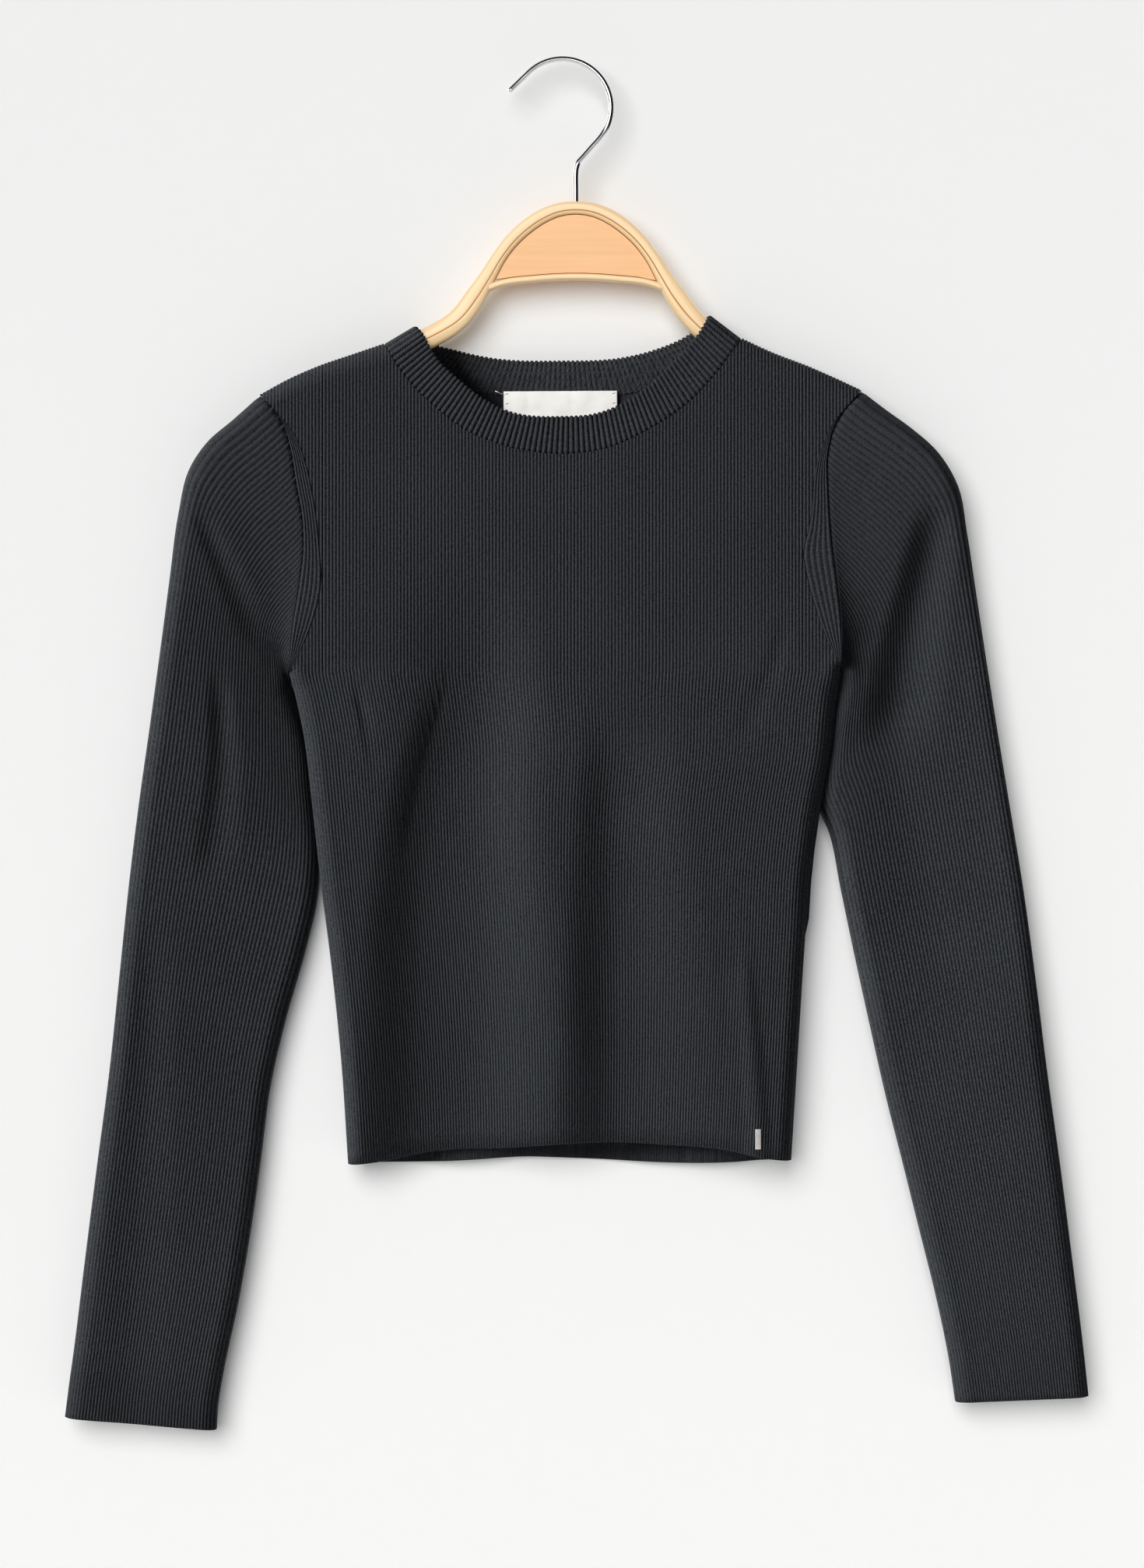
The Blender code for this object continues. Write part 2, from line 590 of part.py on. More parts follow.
def tab(name, ranges, face, inside, thickness, look):
    """A small flat tab that lies on a panel's outer points, or inside it."""
    x, z = np.meshgrid(np.linspace(*ranges[0], TAB_GRID[0]), np.linspace(*ranges[1], TAB_GRID[1]))
    points = np.stack([x, z], -1) * MM
    outer, inner, normal = drape(points, no_folds(points), body_folds(),
                                 body_half_depth(points), face, COLLAR_WALL)
    lower = inner - normal * (GAP + thickness) if inside else outer + normal * GAP
    return cloth_wall(name, lower + normal * thickness, lower, look)


# ------------------------------------------------------------------ hanger

CROSSBAR_HALF_THICKNESS = 4.4 * MM
INLAY_HALF_THICKNESS = 2.4 * MM
INLAY_CLEARANCE = 0.35 * MM
INLAY_HALF_WIDTH = 48.0 * MM  # where the arch and the crossbar are still apart
TIP_LENGTH = 2.5 * MM  # of the rounding at each end of a strip
TIP_SHARE = 0.7  # of the strip's section, at its very end
TANGENT_STEP = 2.0 * MM  # on both sides of a place, for the direction there


def hanger_line():
    """Centre line and half heights of the bent strip, from the right arm's end to the left's."""
    arch = table(HANGER_ARCH)
    halves = {}
    for side, sign in SIDES.items():
        seen = np.stack([HANGER_X + sign * arch[:, 0], arch[:, 1], arch[:, 2]], -1)
        fold = top_fold(side)
        at = ARM_SAMPLES * MM
        along = follow(fold, at + TANGENT_STEP) - follow(fold, at - TANGENT_STEP)
        under = follow(fold, at) + below(along) * (ARM_COVER + ARM_HALF_HEIGHT)
        hidden = np.concatenate([under, np.full((len(at), 1), ARM_HALF_HEIGHT)], 1)
        halves[side] = np.concatenate([seen, hidden])
    return np.concatenate([halves["right"][::-1], halves["left"][1:]])


def along_strip(stations, count):
    """Even stations on the smooth curve through (x, height, half height) rows."""
    along = lengths(stations[:, :2])
    at = np.linspace(0, along[-1], count)
    return np.stack([smooth(at, along, column) for column in stations.T], -1)


def strip(name, stations, half_thickness, look, count):
    """A bar of rounded section along a line in x and z, with rounded ends."""
    line = along_strip(stations, count)
    centre, half_height = line[:, :2], line[:, 2]
    direction = unit(np.gradient(centre, axis=0))
    centre = np.concatenate([centre[:1] - direction[:1] * TIP_LENGTH, centre,
                             centre[-1:] + direction[-1:] * TIP_LENGTH])
    direction = np.concatenate([direction[:1], direction, direction[-1:]])
    half_height = np.concatenate([half_height[:1], half_height, half_height[-1:]])
    half_width = np.full(len(centre), half_thickness)
    for size in (half_height, half_width):
        size[[0, -1]] *= TIP_SHARE
    across = np.stack([-direction[:, 1], direction[:, 0]], -1)
    sides = STRIP_SIDES
    angle = (np.arange(sides) + 0.5) * 2 * math.pi / sides
    up = np.sign(np.sin(angle)) * np.abs(np.sin(angle)) ** SQUARENESS
    out = np.sign(np.cos(angle)) * np.abs(np.cos(angle)) ** SQUARENESS
    reach = half_height[:, None] * up
    x = centre[:, :1] + across[:, :1] * reach
    z = centre[:, 1:] + across[:, 1:] * reach
    points = np.stack([x, half_width[:, None] * out, z], -1)
    index = np.arange(points.shape[0] * sides).reshape(-1, sides)
    faces = grid_faces(index, True) + [index[0].tolist(), index[-1][::-1].tolist()]
    return add_mesh(name, points.reshape(-1, 3), faces, look)


def boolean(target, tool, operation):
    """Adds one Boolean step to an object and hides the shape that it uses."""
    step = target.modifiers.new(tool.name, "BOOLEAN")
    step.operation = operation
    step.object = tool
    tool.hide_render = True
    tool.display_type = "WIRE"


def hanger_frame(look):
    frame = strip("hanger_frame", hanger_line(), HANGER_HALF_THICKNESS, look, FRAME_STATIONS)
    bar = table(CROSSBAR) + (HANGER_X, 0)
    bar = np.concatenate([bar, np.full((len(bar), 1), CROSSBAR_HALF_HEIGHT)], 1)
    crossbar = strip("crossbar", bar, CROSSBAR_HALF_THICKNESS, look, CROSSBAR_STATIONS)
    boolean(frame, crossbar, "UNION")
    boolean(frame, shank_hole(), "DIFFERENCE")
    return frame


def arch_inner_edge(clearance):
    """The arch's inner edge from corner to corner, moved in by a clearance."""
    line = along_strip(hanger_line(), 2 * LINE_POINTS)
    return line[:, :2] + below(np.gradient(line[:, :2], axis=0)) * (line[:, 2:] + clearance)


def hanger_panel(look):
    """The inlay: a plate that fills the arch above the crossbar."""
    edge = arch_inner_edge(INLAY_CLEARANCE)
    bar = table(CROSSBAR) + (HANGER_X, CROSSBAR_HALF_HEIGHT + INLAY_CLEARANCE)
    floor = smooth(edge[:, 0], bar[:, 0], bar[:, 1])
    within = (edge[:, 1] > floor) & (np.abs(edge[:, 0] - HANGER_X) < INLAY_HALF_WIDTH)
    arch = edge[within]
    arch = follow(arch, np.linspace(0, lengths(arch)[-1], INLAY_ARCH_POINTS))
    foot_x = np.linspace(arch[-1, 0], arch[0, 0], INLAY_FOOT_POINTS)[1:-1]
    foot = np.stack([foot_x, smooth(foot_x, bar[:, 0], bar[:, 1])], -1)
    outline = np.concatenate([arch, foot])
    count = len(outline)
    depth = INLAY_HALF_THICKNESS
    points = [(x, y, z) for y in (-depth, depth) for x, z in outline]
    faces = [list(range(count)), list(range(2 * count - 1, count - 1, -1))]
    faces += [[i, (i + 1) % count, (i + 1) % count + count, i + count] for i in range(count)]
    return add_mesh("hanger_panel", points, faces, look)


# ------------------------------------------------------------------ hook

HOOK_RADIUS = 28.0 * MM  # of the wire's centre line
HOOK_CENTRE = (0.4 * MM, WIRE_RADIUS - HOOK_RADIUS)
HOOK_ARC = (137.0, -38.0)  # degrees from +X, tip side first
TAIL = 14.5 * MM  # straight end of the wire past the arc
NECK_BEND = (HANGER_X + 0.6 * MM, -59.5 * MM)
BEND_ROUNDING = (-0.2 * MM, -2.0 * MM)  # from the neck bend to the point that rounds it off
SLOPE_PLACES = np.array([8.0, 16.0, 19.5]) * MM  # points on the straight part above the bend
SHANK_TOP = -66.0 * MM
SHANK_FOOT = -86.0 * MM  # the wire's end, in the wood
HOLE_RADIUS = WIRE_RADIUS + GAP
HOLE_DEPTH = 12.0 * MM


def hook_line():
    angles = np.radians(np.linspace(*HOOK_ARC, HOOK_POINTS))
    arc = np.stack([np.cos(angles), np.sin(angles)], -1) * HOOK_RADIUS + HOOK_CENTRE
    tail = arc[0] + unit(arc[0] - arc[1]) * TAIL
    foot = np.array([[HANGER_X, SHANK_TOP], [HANGER_X, SHANK_FOOT]])
    slope = follow(np.stack([arc[-1], NECK_BEND]), SLOPE_PLACES)
    bend = np.array([NECK_BEND]) + BEND_ROUNDING
    return np.concatenate([tail[None], arc, slope, bend, foot])


def hanger_hook(look):
    line = hook_line()
    curve = bpy.data.curves.new("hanger_hook", "CURVE")
    curve.dimensions = "3D"
    curve.bevel_depth = WIRE_RADIUS
    curve.bevel_resolution = 3
    curve.use_fill_caps = True
    path = curve.splines.new("POLY")
    path.points.add(len(line) - 1)
    for point, (x, z) in zip(path.points, line):
        point.co = (x, 0, z, 1)
    curve.materials.append(look)
    made = bpy.data.objects.new("hanger_hook", curve)
    bpy.context.scene.collection.objects.link(made)
    return made


def shank_hole():
    """The bore in the top of the arch that the wire is pressed into."""
    points = []
    for height in (SHANK_FOOT - GAP, SHANK_FOOT + HOLE_DEPTH):
        for i in range(HOLE_SIDES):
            angle = (i + 0.5) * 2 * math.pi / HOLE_SIDES
            points.append((HANGER_X + HOLE_RADIUS * math.cos(angle),
                           HOLE_RADIUS * math.sin(angle), height))
    index = np.arange(2 * HOLE_SIDES).reshape(2, HOLE_SIDES)
    faces = grid_faces(index, True) + [index[0].tolist(), index[1][::-1].tolist()]
    return add_mesh("shank_hole", points, faces, None)


# ------------------------------------------------------------------ everything


def build():
    for old in list(bpy.data.objects):
        bpy.data.objects.remove(old)
    knit = material("black_rib_knit", (0.030, 0.032, 0.037), 0.9)
    woven = material("cream_woven_label", (0.82, 0.80, 0.76), 0.7)
    beech = material("pale_beech", (0.93, 0.74, 0.45), 0.4)
    inlay = material("tan_inlay", (0.91, 0.52, 0.25), 0.4)
    chrome = material("chrome_wire", (0.80, 0.80, 0.82), 0.08, 1.0)
    for face in FACES:
        panel(face, knit)
    for side in SIDES:
        sleeve(side, knit)
    collar(knit)
    tab("neck_label", NECK_LABEL, "back", True, NECK_LABEL_THICKNESS, woven)
    tab("size_tab", SIZE_TAB, "back", True, NECK_LABEL_THICKNESS, woven)
    tab("hem_tab", HEM_TAB, "front", False, HEM_TAB_THICKNESS, woven)
    hanger_frame(beech)
    hanger_panel(inlay)
    hanger_hook(chrome)


build()
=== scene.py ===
"""Looks of a cropped rib-knit sweater on a wooden hanger.

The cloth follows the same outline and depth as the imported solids, worked out again here on
finer grids, so that each rib of the knit is a raised column of its own. Metres throughout;
the tables are in millimetres.
"""

import math

import bpy
import numpy as np
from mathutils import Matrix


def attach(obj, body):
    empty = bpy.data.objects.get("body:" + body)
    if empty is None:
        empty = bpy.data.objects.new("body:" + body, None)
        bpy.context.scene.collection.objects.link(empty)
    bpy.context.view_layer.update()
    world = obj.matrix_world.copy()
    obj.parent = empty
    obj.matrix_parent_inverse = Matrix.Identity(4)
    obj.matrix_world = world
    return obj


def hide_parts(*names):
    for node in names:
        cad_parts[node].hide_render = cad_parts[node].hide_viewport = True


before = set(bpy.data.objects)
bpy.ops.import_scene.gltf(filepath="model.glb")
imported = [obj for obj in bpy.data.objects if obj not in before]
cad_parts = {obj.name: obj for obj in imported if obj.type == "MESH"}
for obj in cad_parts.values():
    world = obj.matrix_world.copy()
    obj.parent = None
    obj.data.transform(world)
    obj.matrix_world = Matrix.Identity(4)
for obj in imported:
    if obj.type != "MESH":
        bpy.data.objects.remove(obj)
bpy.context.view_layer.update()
MM = 0.001

# ------------------------------------------------------------------ sizes

WALL = 1.6 * MM
COLLAR_WALL = 2.0 * MM
HALF_DEPTH = 8.5 * MM
HEM_HALF_DEPTH = 12.0 * MM
CUFF_HALF_DEPTH = 7.0 * MM
FOLD_REACH = 10.0 * MM  # how far the cloth's rounding reaches in from a fold line
ON_FOLD = 0.25 * MM  # nearer than this, a point counts as on the fold line

BODY_RIBS = 162  # across one panel at the underarm
BAND_RIBS = 5  # of the fashioned band along the armhole
SLEEVE_RIBS = 48  # on one face
COLUMNS_PER_RIB = 4
RIB_HEIGHT = 0.62 * MM
RIB_PROFILE = np.array([0.0, 0.84, 1.0, 0.84])  # over one rib, from its valley
COURSE = 1.15 * MM  # height of one row of stitches
SEAM_SINK = 0.5 * MM  # how deep the cloth dips in at a seam
BAND_SINK = 0.3 * MM  # and where the upright ribs meet the fashioned band
NECK_SINK = 1.0 * MM  # and along the collar's seam
RIM = 0.5 * MM  # how far the middle of a hem or cuff stands past its edges
INNER_ROWS = 3  # outer rows to one row of the inside
LINE_POINTS = 80  # of the fine polyline along a curve
NECK_POINTS = 200  # and along the neck's curves
ROUNDING = 1e-9  # room for the last digits of a place that lies on a boundary

WIRE_RADIUS = 1.5 * MM
HANGER_X = 8.0 * MM
HANGER_HALF_THICKNESS = 4.8 * MM
ARM_HALF_HEIGHT = 6.3 * MM
ARM_COVER = COLLAR_WALL + 1.3 * MM  # from the sweater's top line down to the arm

# ------------------------------------------------------------------ tables, millimetres

# Each side's armhole seam, from the shoulder tip to the underarm: height, x.
ARMHOLE = {
    "right": [(-193.1, -174.6), (-200.7, -166.5), (-211.1, -160.2), (-226.0, -155.8),
              (-241.7, -153.3), (-262.8, -149.6), (-281.2, -148.8), (-305.1, -151.6),
              (-327.6, -155.2), (-353.7, -157.3)],
    "left": [(-190.5, 173.2), (-200.7, 163.3), (-211.1, 157.0), (-226.3, 153.2),
             (-248.8, 153.3), (-274.9, 155.2), (-298.8, 158.2), (-317.7, 160.4),
             (-334.0, 161.2), (-351.5, 160.5)],
}

# The inner line of the fashioned band, where the panel's upright ribs end: height, x.
FASHION = {
    "right": [(-204.0, -164.0), (-212.4, -156.6), (-221.9, -151.4), (-234.9, -147.0),
              (-248.4, -144.0), (-265.5, -141.2), (-281.3, -139.6), (-305.1, -139.0),
              (-323.6, -143.4), (-338.0, -149.2), (-348.0, -154.0), (-353.7, -156.6)],
    "left": [(-202.5, 162.0), (-207.5, 157.6), (-223.2, 149.8), (-240.3, 145.6),
             (-257.4, 144.2), (-267.8, 142.8), (-283.7, 139.2), (-300.0, 141.6),
             (-315.5, 145.8), (-331.2, 151.4), (-344.7, 157.4), (-351.5, 159.7)],
}

# Each side's fold, from the underarm to the hem: height, x.
SIDE = {
    "right": [(-353.7, -157.3), (-370.4, -153.0), (-387.5, -149.4), (-426.6, -144.5),
              (-477.5, -138.8), (-516.6, -133.7), (-576.5, -127.4), (-636.8, -123.3)],
    "left": [(-351.5, 160.5), (-367.2, 157.5), (-401.0, 153.8), (-428.9, 148.2),
             (-468.5, 142.7), (-504.5, 140.4), (-576.5, 135.9), (-634.5, 132.3)],
}

# Each side's shoulder line, from the collar to the tip: x, height.
SHOULDER = {
    "right": [(-103.0, -163.5), (-120.0, -169.3), (-140.4, -176.3), (-157.0, -183.5),
              (-174.6, -193.1)],
    "left": [(104.0, -160.5), (121.0, -168.3), (143.0, -176.8), (158.0, -183.4),
             (173.2, -190.5)],
}

# The collar's seam and its free edge, from the wearer's right to their left: x, height.
NECK_SEAM = {
    "front": [(-103.0, -163.5), (-94.5, -177.0), (-83.0, -191.0), (-70.0, -203.0),
              (-54.0, -214.5), (-33.0, -222.8), (-1.0, -227.5), (27.4, -223.7),
              (50.0, -213.5), (70.0, -200.5), (87.8, -182.7), (97.7, -169.5),
              (104.0, -160.5)],
    "back": [(-103.0, -163.5), (-90.0, -175.5), (-70.0, -184.5), (-45.0, -190.5),
             (0.0, -193.5), (45.0, -189.5), (70.0, -182.5), (90.5, -172.5),
             (104.0, -160.5)],
}
COLLAR_EDGE = {
    "front": [(-86.0, -153.5), (-81.8, -157.5), (-77.0, -166.0), (-72.9, -172.8),
              (-60.3, -185.0), (-47.2, -195.3), (-30.0, -204.0), (0.0, -206.8),
              (20.0, -205.0), (34.0, -199.8), (49.1, -190.0), (63.5, -176.6),
              (78.8, -159.5), (86.4, -147.2)],
    "back": [(-86.0, -153.5), (-79.0, -160.8), (-60.0, -167.5), (-41.4, -171.5),
             (0.0, -173.3), (34.6, -171.5), (55.0, -166.5), (74.7, -157.5),
             (86.4, -147.2)],
}

# The hem, from the wearer's right to their left: x, height.
HEM = {
    "front": [(-123.3, -636.8), (-106.7, -635.2), (-74.7, -629.6), (-32.4, -627.3),
              (0.0, -624.6), (26.1, -623.9), (55.8, -625.1), (95.0, -628.0),
              (116.0, -632.5), (132.3, -634.5)],
    "back": [(-123.3, -636.8), (-68.4, -635.9), (-18.4, -633.4), (15.8, -634.8),
             (72.0, -637.0), (132.3, -634.5)],
}

# Sections of each sleeve from the armhole to the cuff: the outer fold's x and height, the
# inner fold's x and height, and how far the inner fold lies behind the body's side.
SLEEVE = {
    "right": [(-174.6, -193.1, -157.3, -353.7, 0.0), (-190.5, -207.3, -157.2, -361.0, 4.0),
              (-205.0, -219.8, -153.8, -372.0, 6.5), (-215.5, -235.5, -149.0, -388.0, 7.4),
              (-221.8, -261.4, -145.5, -406.0, 7.4), (-226.6, -298.0, -143.2, -430.0, 7.6),
              (-231.8, -338.0, -140.6, -456.0, 7.6), (-237.8, -382.0, -141.4, -481.0, 7.4),
              (-244.3, -428.0, -148.6, -514.0, 6.6), (-250.3, -477.0, -160.0, -554.0, 5.8),
              (-255.8, -530.0, -168.9, -593.0, 5.0), (-261.5, -584.0, -174.2, -633.5, 4.2),
              (-268.6, -638.0, -180.0, -675.0, 3.4), (-275.5, -692.0, -187.2, -717.0, 2.8),
              (-281.9, -744.0, -195.8, -757.5, 2.2), (-285.0, -766.5, -199.2, -779.0, 2.0),
              (-287.1, -783.0, -199.8, -790.6, 2.0)],
    "left": [(173.2, -190.5, 160.5, -351.5, 0.0), (187.0, -201.0, 159.6, -358.5, 2.5),
             (202.5, -212.2, 157.4, -368.0, 5.0), (217.3, -225.5, 155.2, -381.0, 7.0),
             (229.0, -245.0, 153.4, -396.0, 7.4), (234.3, -272.5, 149.9, -413.0, 7.6),
             (238.9, -303.0, 148.2, -429.5, 7.6), (244.2, -338.5, 155.0, -446.0, 7.4),
             (251.0, -382.0, 161.6, -478.0, 6.8), (258.5, -428.0, 169.5, -516.0, 6.2),
             (266.5, -477.0, 178.3, -556.5, 5.4), (273.7, -530.0, 187.6, -598.0, 4.6),
             (280.4, -584.0, 197.2, -636.0, 3.8), (287.9, -638.0, 207.0, -675.5, 3.0),
             (294.8, -692.0, 216.6, -714.0, 2.4), (301.3, -744.0, 224.4, -752.0, 2.0),
             (304.2, -770.9, 227.7, -774.5, 2.0)],
}

# Folds: the face, three points of the line as x and height, how wide it is at its foot
# towards -X and towards +X, and how far it stands out at the top and at the foot. A trough
# has a minus sign. A face's small creases come after its large folds, and the folds that
# only the sleeves have come last.
FOLDS = [
    ("front", -54, -330, -76, -430, -80, -640, 46, 112, -5, -10),
    ("front", -50, -260, -48, -400, -40, -640, 98, 72, -4.8, -5.6),
    ("front", -30, -380, -14, -500, -12, -640, 50, 44, 1.2, 3.6),
    ("front", 28, -360, 32, -500, 34, -640, 44, 74, -3.4, -9.6),
    ("front", 103, -500, 110, -570, 114, -640, 12, 10, 0.8, 2),
    ("front", 218, -246, 204, -316, 188, -405, 26, 34, -5, -5.5),
    ("front", -212, -256, -192, -300, -170, -345, 14, 18, -2.6, -1.8),
    ("front", -236, -480, -242, -640, -250, -768, 24, 30, -1.4, -1.4),
    ("front", -63, -346, -80, -398, -96, -470, 5, 9, -1.6, -0.8),
    ("front", -119, -360, -114, -384, -106, -412, 6, 12, -1.2, -0.6),
    ("front", 100, -516, 105, -566, 108, -618, 18, 14, 0.8, 0.8),
    ("front", 132, -318, 120, -352, 98, -398, 12, 14, -1, -0.6),
    ("back", 84, -370, 96, -470, 98, -640, 40, 18, -1.8, -5),
    ("back", 30, -420, 22, -520, 18, -640, 28, 46, 1, 3.6),
    ("back", -52, -450, -50, -540, -48, -640, 46, 28, -1, -3.6),
    ("back", 210, -265, 196, -330, 188, -460, 26, 26, -3.4, -1.4),
    ("back", -200, -265, -184, -330, -176, -440, 24, 24, -3.2, -1.4),
    ("back", 64, -350, 80, -400, 92, -470, 9, 5, -1.4, -0.8),
    ("back", 252, -480, 262, -620, 274, -740, 24, 9, -1.4, -1.4),
    ("front sleeve", 236, -226, 240, -351, 250, -560, 110, 60, -7, -4),
    ("front sleeve", -200, -345, -197, -400, -204, -480, 14, 20, -2.6, -1.6),
    ("front sleeve", 164, -310, 158, -415, 184, -600, 24, 68, 4.5, 5.5),
    ("back sleeve", -172, -375, -170, -430, -178, -520, 22, 22, -3, -1.6),
]
FOLD_TOP_WIDTH = 0.45  # a fold's width at its top, as a share of its width at the foot
FOLD_FADE = 0.25  # the share of its length over which a fold rises from the flat cloth
OPEN_FOOT = -640.0 * MM  # a fold whose foot is here runs out through the hem

# The gathered cloth at each underarm: x, height, radius, and how far it stands out.
KNOBS = [(-157.3, -353.7, 13.0, 2.2), (160.5, -351.5, 13.0, 2.2)]

# The hanger's strip on one side of its middle: distance from the middle, height of its
# centre line, half its height.
HANGER_ARCH = [(0.0, -84.8, 3.7), (10.3, -86.0, 3.9), (19.2, -89.6, 4.1),
               (27.4, -94.9, 4.2), (36.6, -103.3, 4.1), (43.8, -112.6, 4.1),
               (50.6, -124.0, 4.8), (58.2, -136.4, 6.0), (66.8, -148.0, 6.3)]
CROSSBAR = [(-52.0, -131.6), (-44.0, -128.6), (-24.0, -125.8), (0.0, -124.6),
            (24.0, -125.8), (44.0, -128.6), (52.0, -131.6)]
CROSSBAR_HALF_HEIGHT = 1.9 * MM
CROSSBAR_HALF_THICKNESS = 4.4 * MM
ARM_SAMPLES = np.linspace(4, 150, 9)  # along the sweater's top line, where it covers the arm
ARM_STEP = 2 * MM  # to the places on both sides that give the line's direction there

SIDES = {"right": -1, "left": 1}
FACES = {"front": -1, "back": 1}


# ------------------------------------------------------------------ curves


def table(rows):
    """A table's rows as an array, from millimetres to metres."""
    return np.array(rows, float) * MM


def unit(vectors):
    return vectors / np.maximum(np.linalg.norm(vectors, axis=-1, keepdims=True), 1e-12)


def smooth(at, knots, values):
    """The smooth curve through (knots, values), read at the places in `at`."""
    order = np.argsort(knots)
    knots, values = np.asarray(knots)[order], np.asarray(values)[order]
    slopes = np.gradient(values, knots)
    row = np.clip(np.searchsorted(knots, at) - 1, 0, len(knots) - 2)
    width = knots[row + 1] - knots[row]
    t = np.clip((at - knots[row]) / width, 0, 1)
    from_left = (1 + 2 * t) * values[row] + t * width * slopes[row]
    from_right = (3 - 2 * t) * values[row + 1] - (1 - t) * width * slopes[row + 1]
    return (1 - t) ** 2 * from_left + t**2 * from_right


def pairs(first, second):
    """Two arrays as one of pairs, each repeated to the shape that both need."""
    return np.stack(np.broadcast_arrays(first, second), -1)


def lengths(points):
    """How far along a polyline each of its points lies."""
    return np.concatenate([[0], np.linalg.norm(np.diff(points, axis=0), axis=1).cumsum()])


def follow(points, at):
    """Points of the polyline at the distances `at` from its start."""
    along = lengths(points)
    return np.stack([np.interp(at, along, column) for column in points.T], -1)


def curve(points, along, at):
    """Places on the smooth curve through points that lie `along` it, at the distances `at`."""
    return np.stack([smooth(at, along, column) for column in points.T], -1)


def smooth_line(rows, count=LINE_POINTS):
    """A fine polyline on the smooth curve through a table's rows."""
    points = table(rows)
    along = lengths(points)
    return curve(points, along, np.linspace(0, along[-1], count))


def at_stations(points, row):
    """Places on the smooth curve through the points, at fractional point numbers."""
    along = lengths(points)
    return curve(points, along, smooth(row, np.arange(len(points)), along))


def edge_x(side, height):
    """x of a body panel's edge: the armhole seam above the underarm, the side fold below."""
    seam_height, seam_x = table(ARMHOLE[side]).T
    fold_height, fold_x = table(SIDE[side]).T
    on_seam = smooth(height, seam_height, seam_x)
    on_fold = smooth(height, fold_height, fold_x)
    return np.where(height > fold_height[0], on_seam, on_fold)


def top_fold(side):
    """The fold from the collar's free edge over the shoulder and down the sleeve's outside."""
    collar = table([COLLAR_EDGE["front"][0 if side == "right" else -1], SHOULDER[side][0]])
    outer = [row[:2] for row in SLEEVE[side]]
    return np.concatenate([collar[:1], smooth_line(SHOULDER[side]), smooth_line(outer)[1:]])


def body_folds():
    folds = [top_fold(side) for side in SIDES]
    return folds + [smooth_line([row[::-1] for row in SIDE[side]]) for side in SIDES]


def sleeve_folds(side):
    return [top_fold(side), smooth_line([row[2:4] for row in SLEEVE[side]])]


# ------------------------------------------------------------------ the cloth's depth


def nearest_fold(points, folds):
    """The distance from each point to the nearest fold, and the unit vector that way."""
    flat = points.reshape(-1, 2)
    best = np.full(len(flat), np.inf)
    toward = np.zeros_like(flat)
    for line in folds:
        for start, end in zip(line[:-1], line[1:]):
            step = end - start
            along = np.clip(((flat - start) @ step) / (step @ step), 0, 1)
            away = start + along[:, None] * step - flat
            distance = np.einsum("ij,ij->i", away, away)
            closer = distance < best
            best[closer] = distance[closer]
            toward[closer] = away[closer]
    return np.sqrt(best).reshape(points.shape[:-1]), unit(toward).reshape(points.shape)


def fold_rise(points, places):
    """How far the folds of the named places raise or sink one face of the cloth."""
    rise = np.zeros(points.shape[:-1])
    x, z = points[..., 0], points[..., 1]
    for row in FOLDS:
        if row[0] not in places:
            continue
        x0, z0, x1, z1, x2, z2, west, east, top_rise, low_rise = table(row[1:])
        beside = x - smooth(z, [z0, z1, z2], [x0, x1, x2])
        down = np.clip((z0 - z) / (z0 - z2), 0, 1)
        width = np.where(beside < 0, west, east)
        width = width * (FOLD_TOP_WIDTH + (1 - FOLD_TOP_WIDTH) * down)
        across = np.clip(np.abs(beside) / width, 0, 1)
        up = 1 - down if z2 > OPEN_FOOT else 1
        fade = np.sin(np.clip(np.minimum(down, up) / FOLD_FADE, 0, 1) * math.pi / 2) ** 2
        height = top_rise + (low_rise - top_rise) * down
        rise += height * fade * np.cos(across * math.pi / 2) ** 2
    for at_x, at_z, radius, height in table(KNOBS):
        off = np.hypot(x - at_x, z - at_z) / radius
        rise += height * np.cos(np.clip(off, 0, 1) * math.pi / 2) ** 2
    return rise


def drape(points, centre, folds, half_depth, face, places):
    """The cloth's outer surface over a grid of (x, z), and its outward normals.

    A point on a fold line takes its normal from a place just nearer to `centre`.
    """
    distance, away = nearest_fold(points, folds)
    on_fold = distance < ON_FOLD
    if on_fold.any():
        inside = points[on_fold] + unit(centre - points)[on_fold] * 2 * ON_FOLD
        away[on_fold] = nearest_fold(inside, folds)[1]
        distance[on_fold] = 0
    roll = np.arccos(1 - np.clip(distance / FOLD_REACH, 0, 1))
    depth = (half_depth + fold_rise(points, places)) * np.sin(roll)
    flat = half_depth * np.cos(roll)
    out = FACES[face] * FOLD_REACH * np.sin(roll)
    normal = unit(np.stack([away[..., 0] * flat, out, away[..., 1] * flat], -1))
    return np.stack([points[..., 0], FACES[face] * depth, points[..., 1]], -1), normal


def half_depths(points, foot, foot_depth):
    """Even down to the underarm, and from there changing evenly to that at the foot."""
    underarm = SIDE["right"][0][0] * MM
    down = np.clip((underarm - points[..., 1]) / (underarm - foot), 0, 1)
    return HALF_DEPTH + (foot_depth - HALF_DEPTH) * down


def drape_body(points, face):
    """The outer surface of a body panel over a grid of (x, z), and its outward normals."""
    half_depth = half_depths(points, SIDE["right"][-1][0] * MM, HEM_HALF_DEPTH)
    return drape(points, BODY_CENTRE, body_folds(), half_depth, face, [face])


# ------------------------------------------------------------------ meshes


def add(name, data):
    made = bpy.data.objects.new(name, data)
    bpy.context.scene.collection.objects.link(made)
    return made


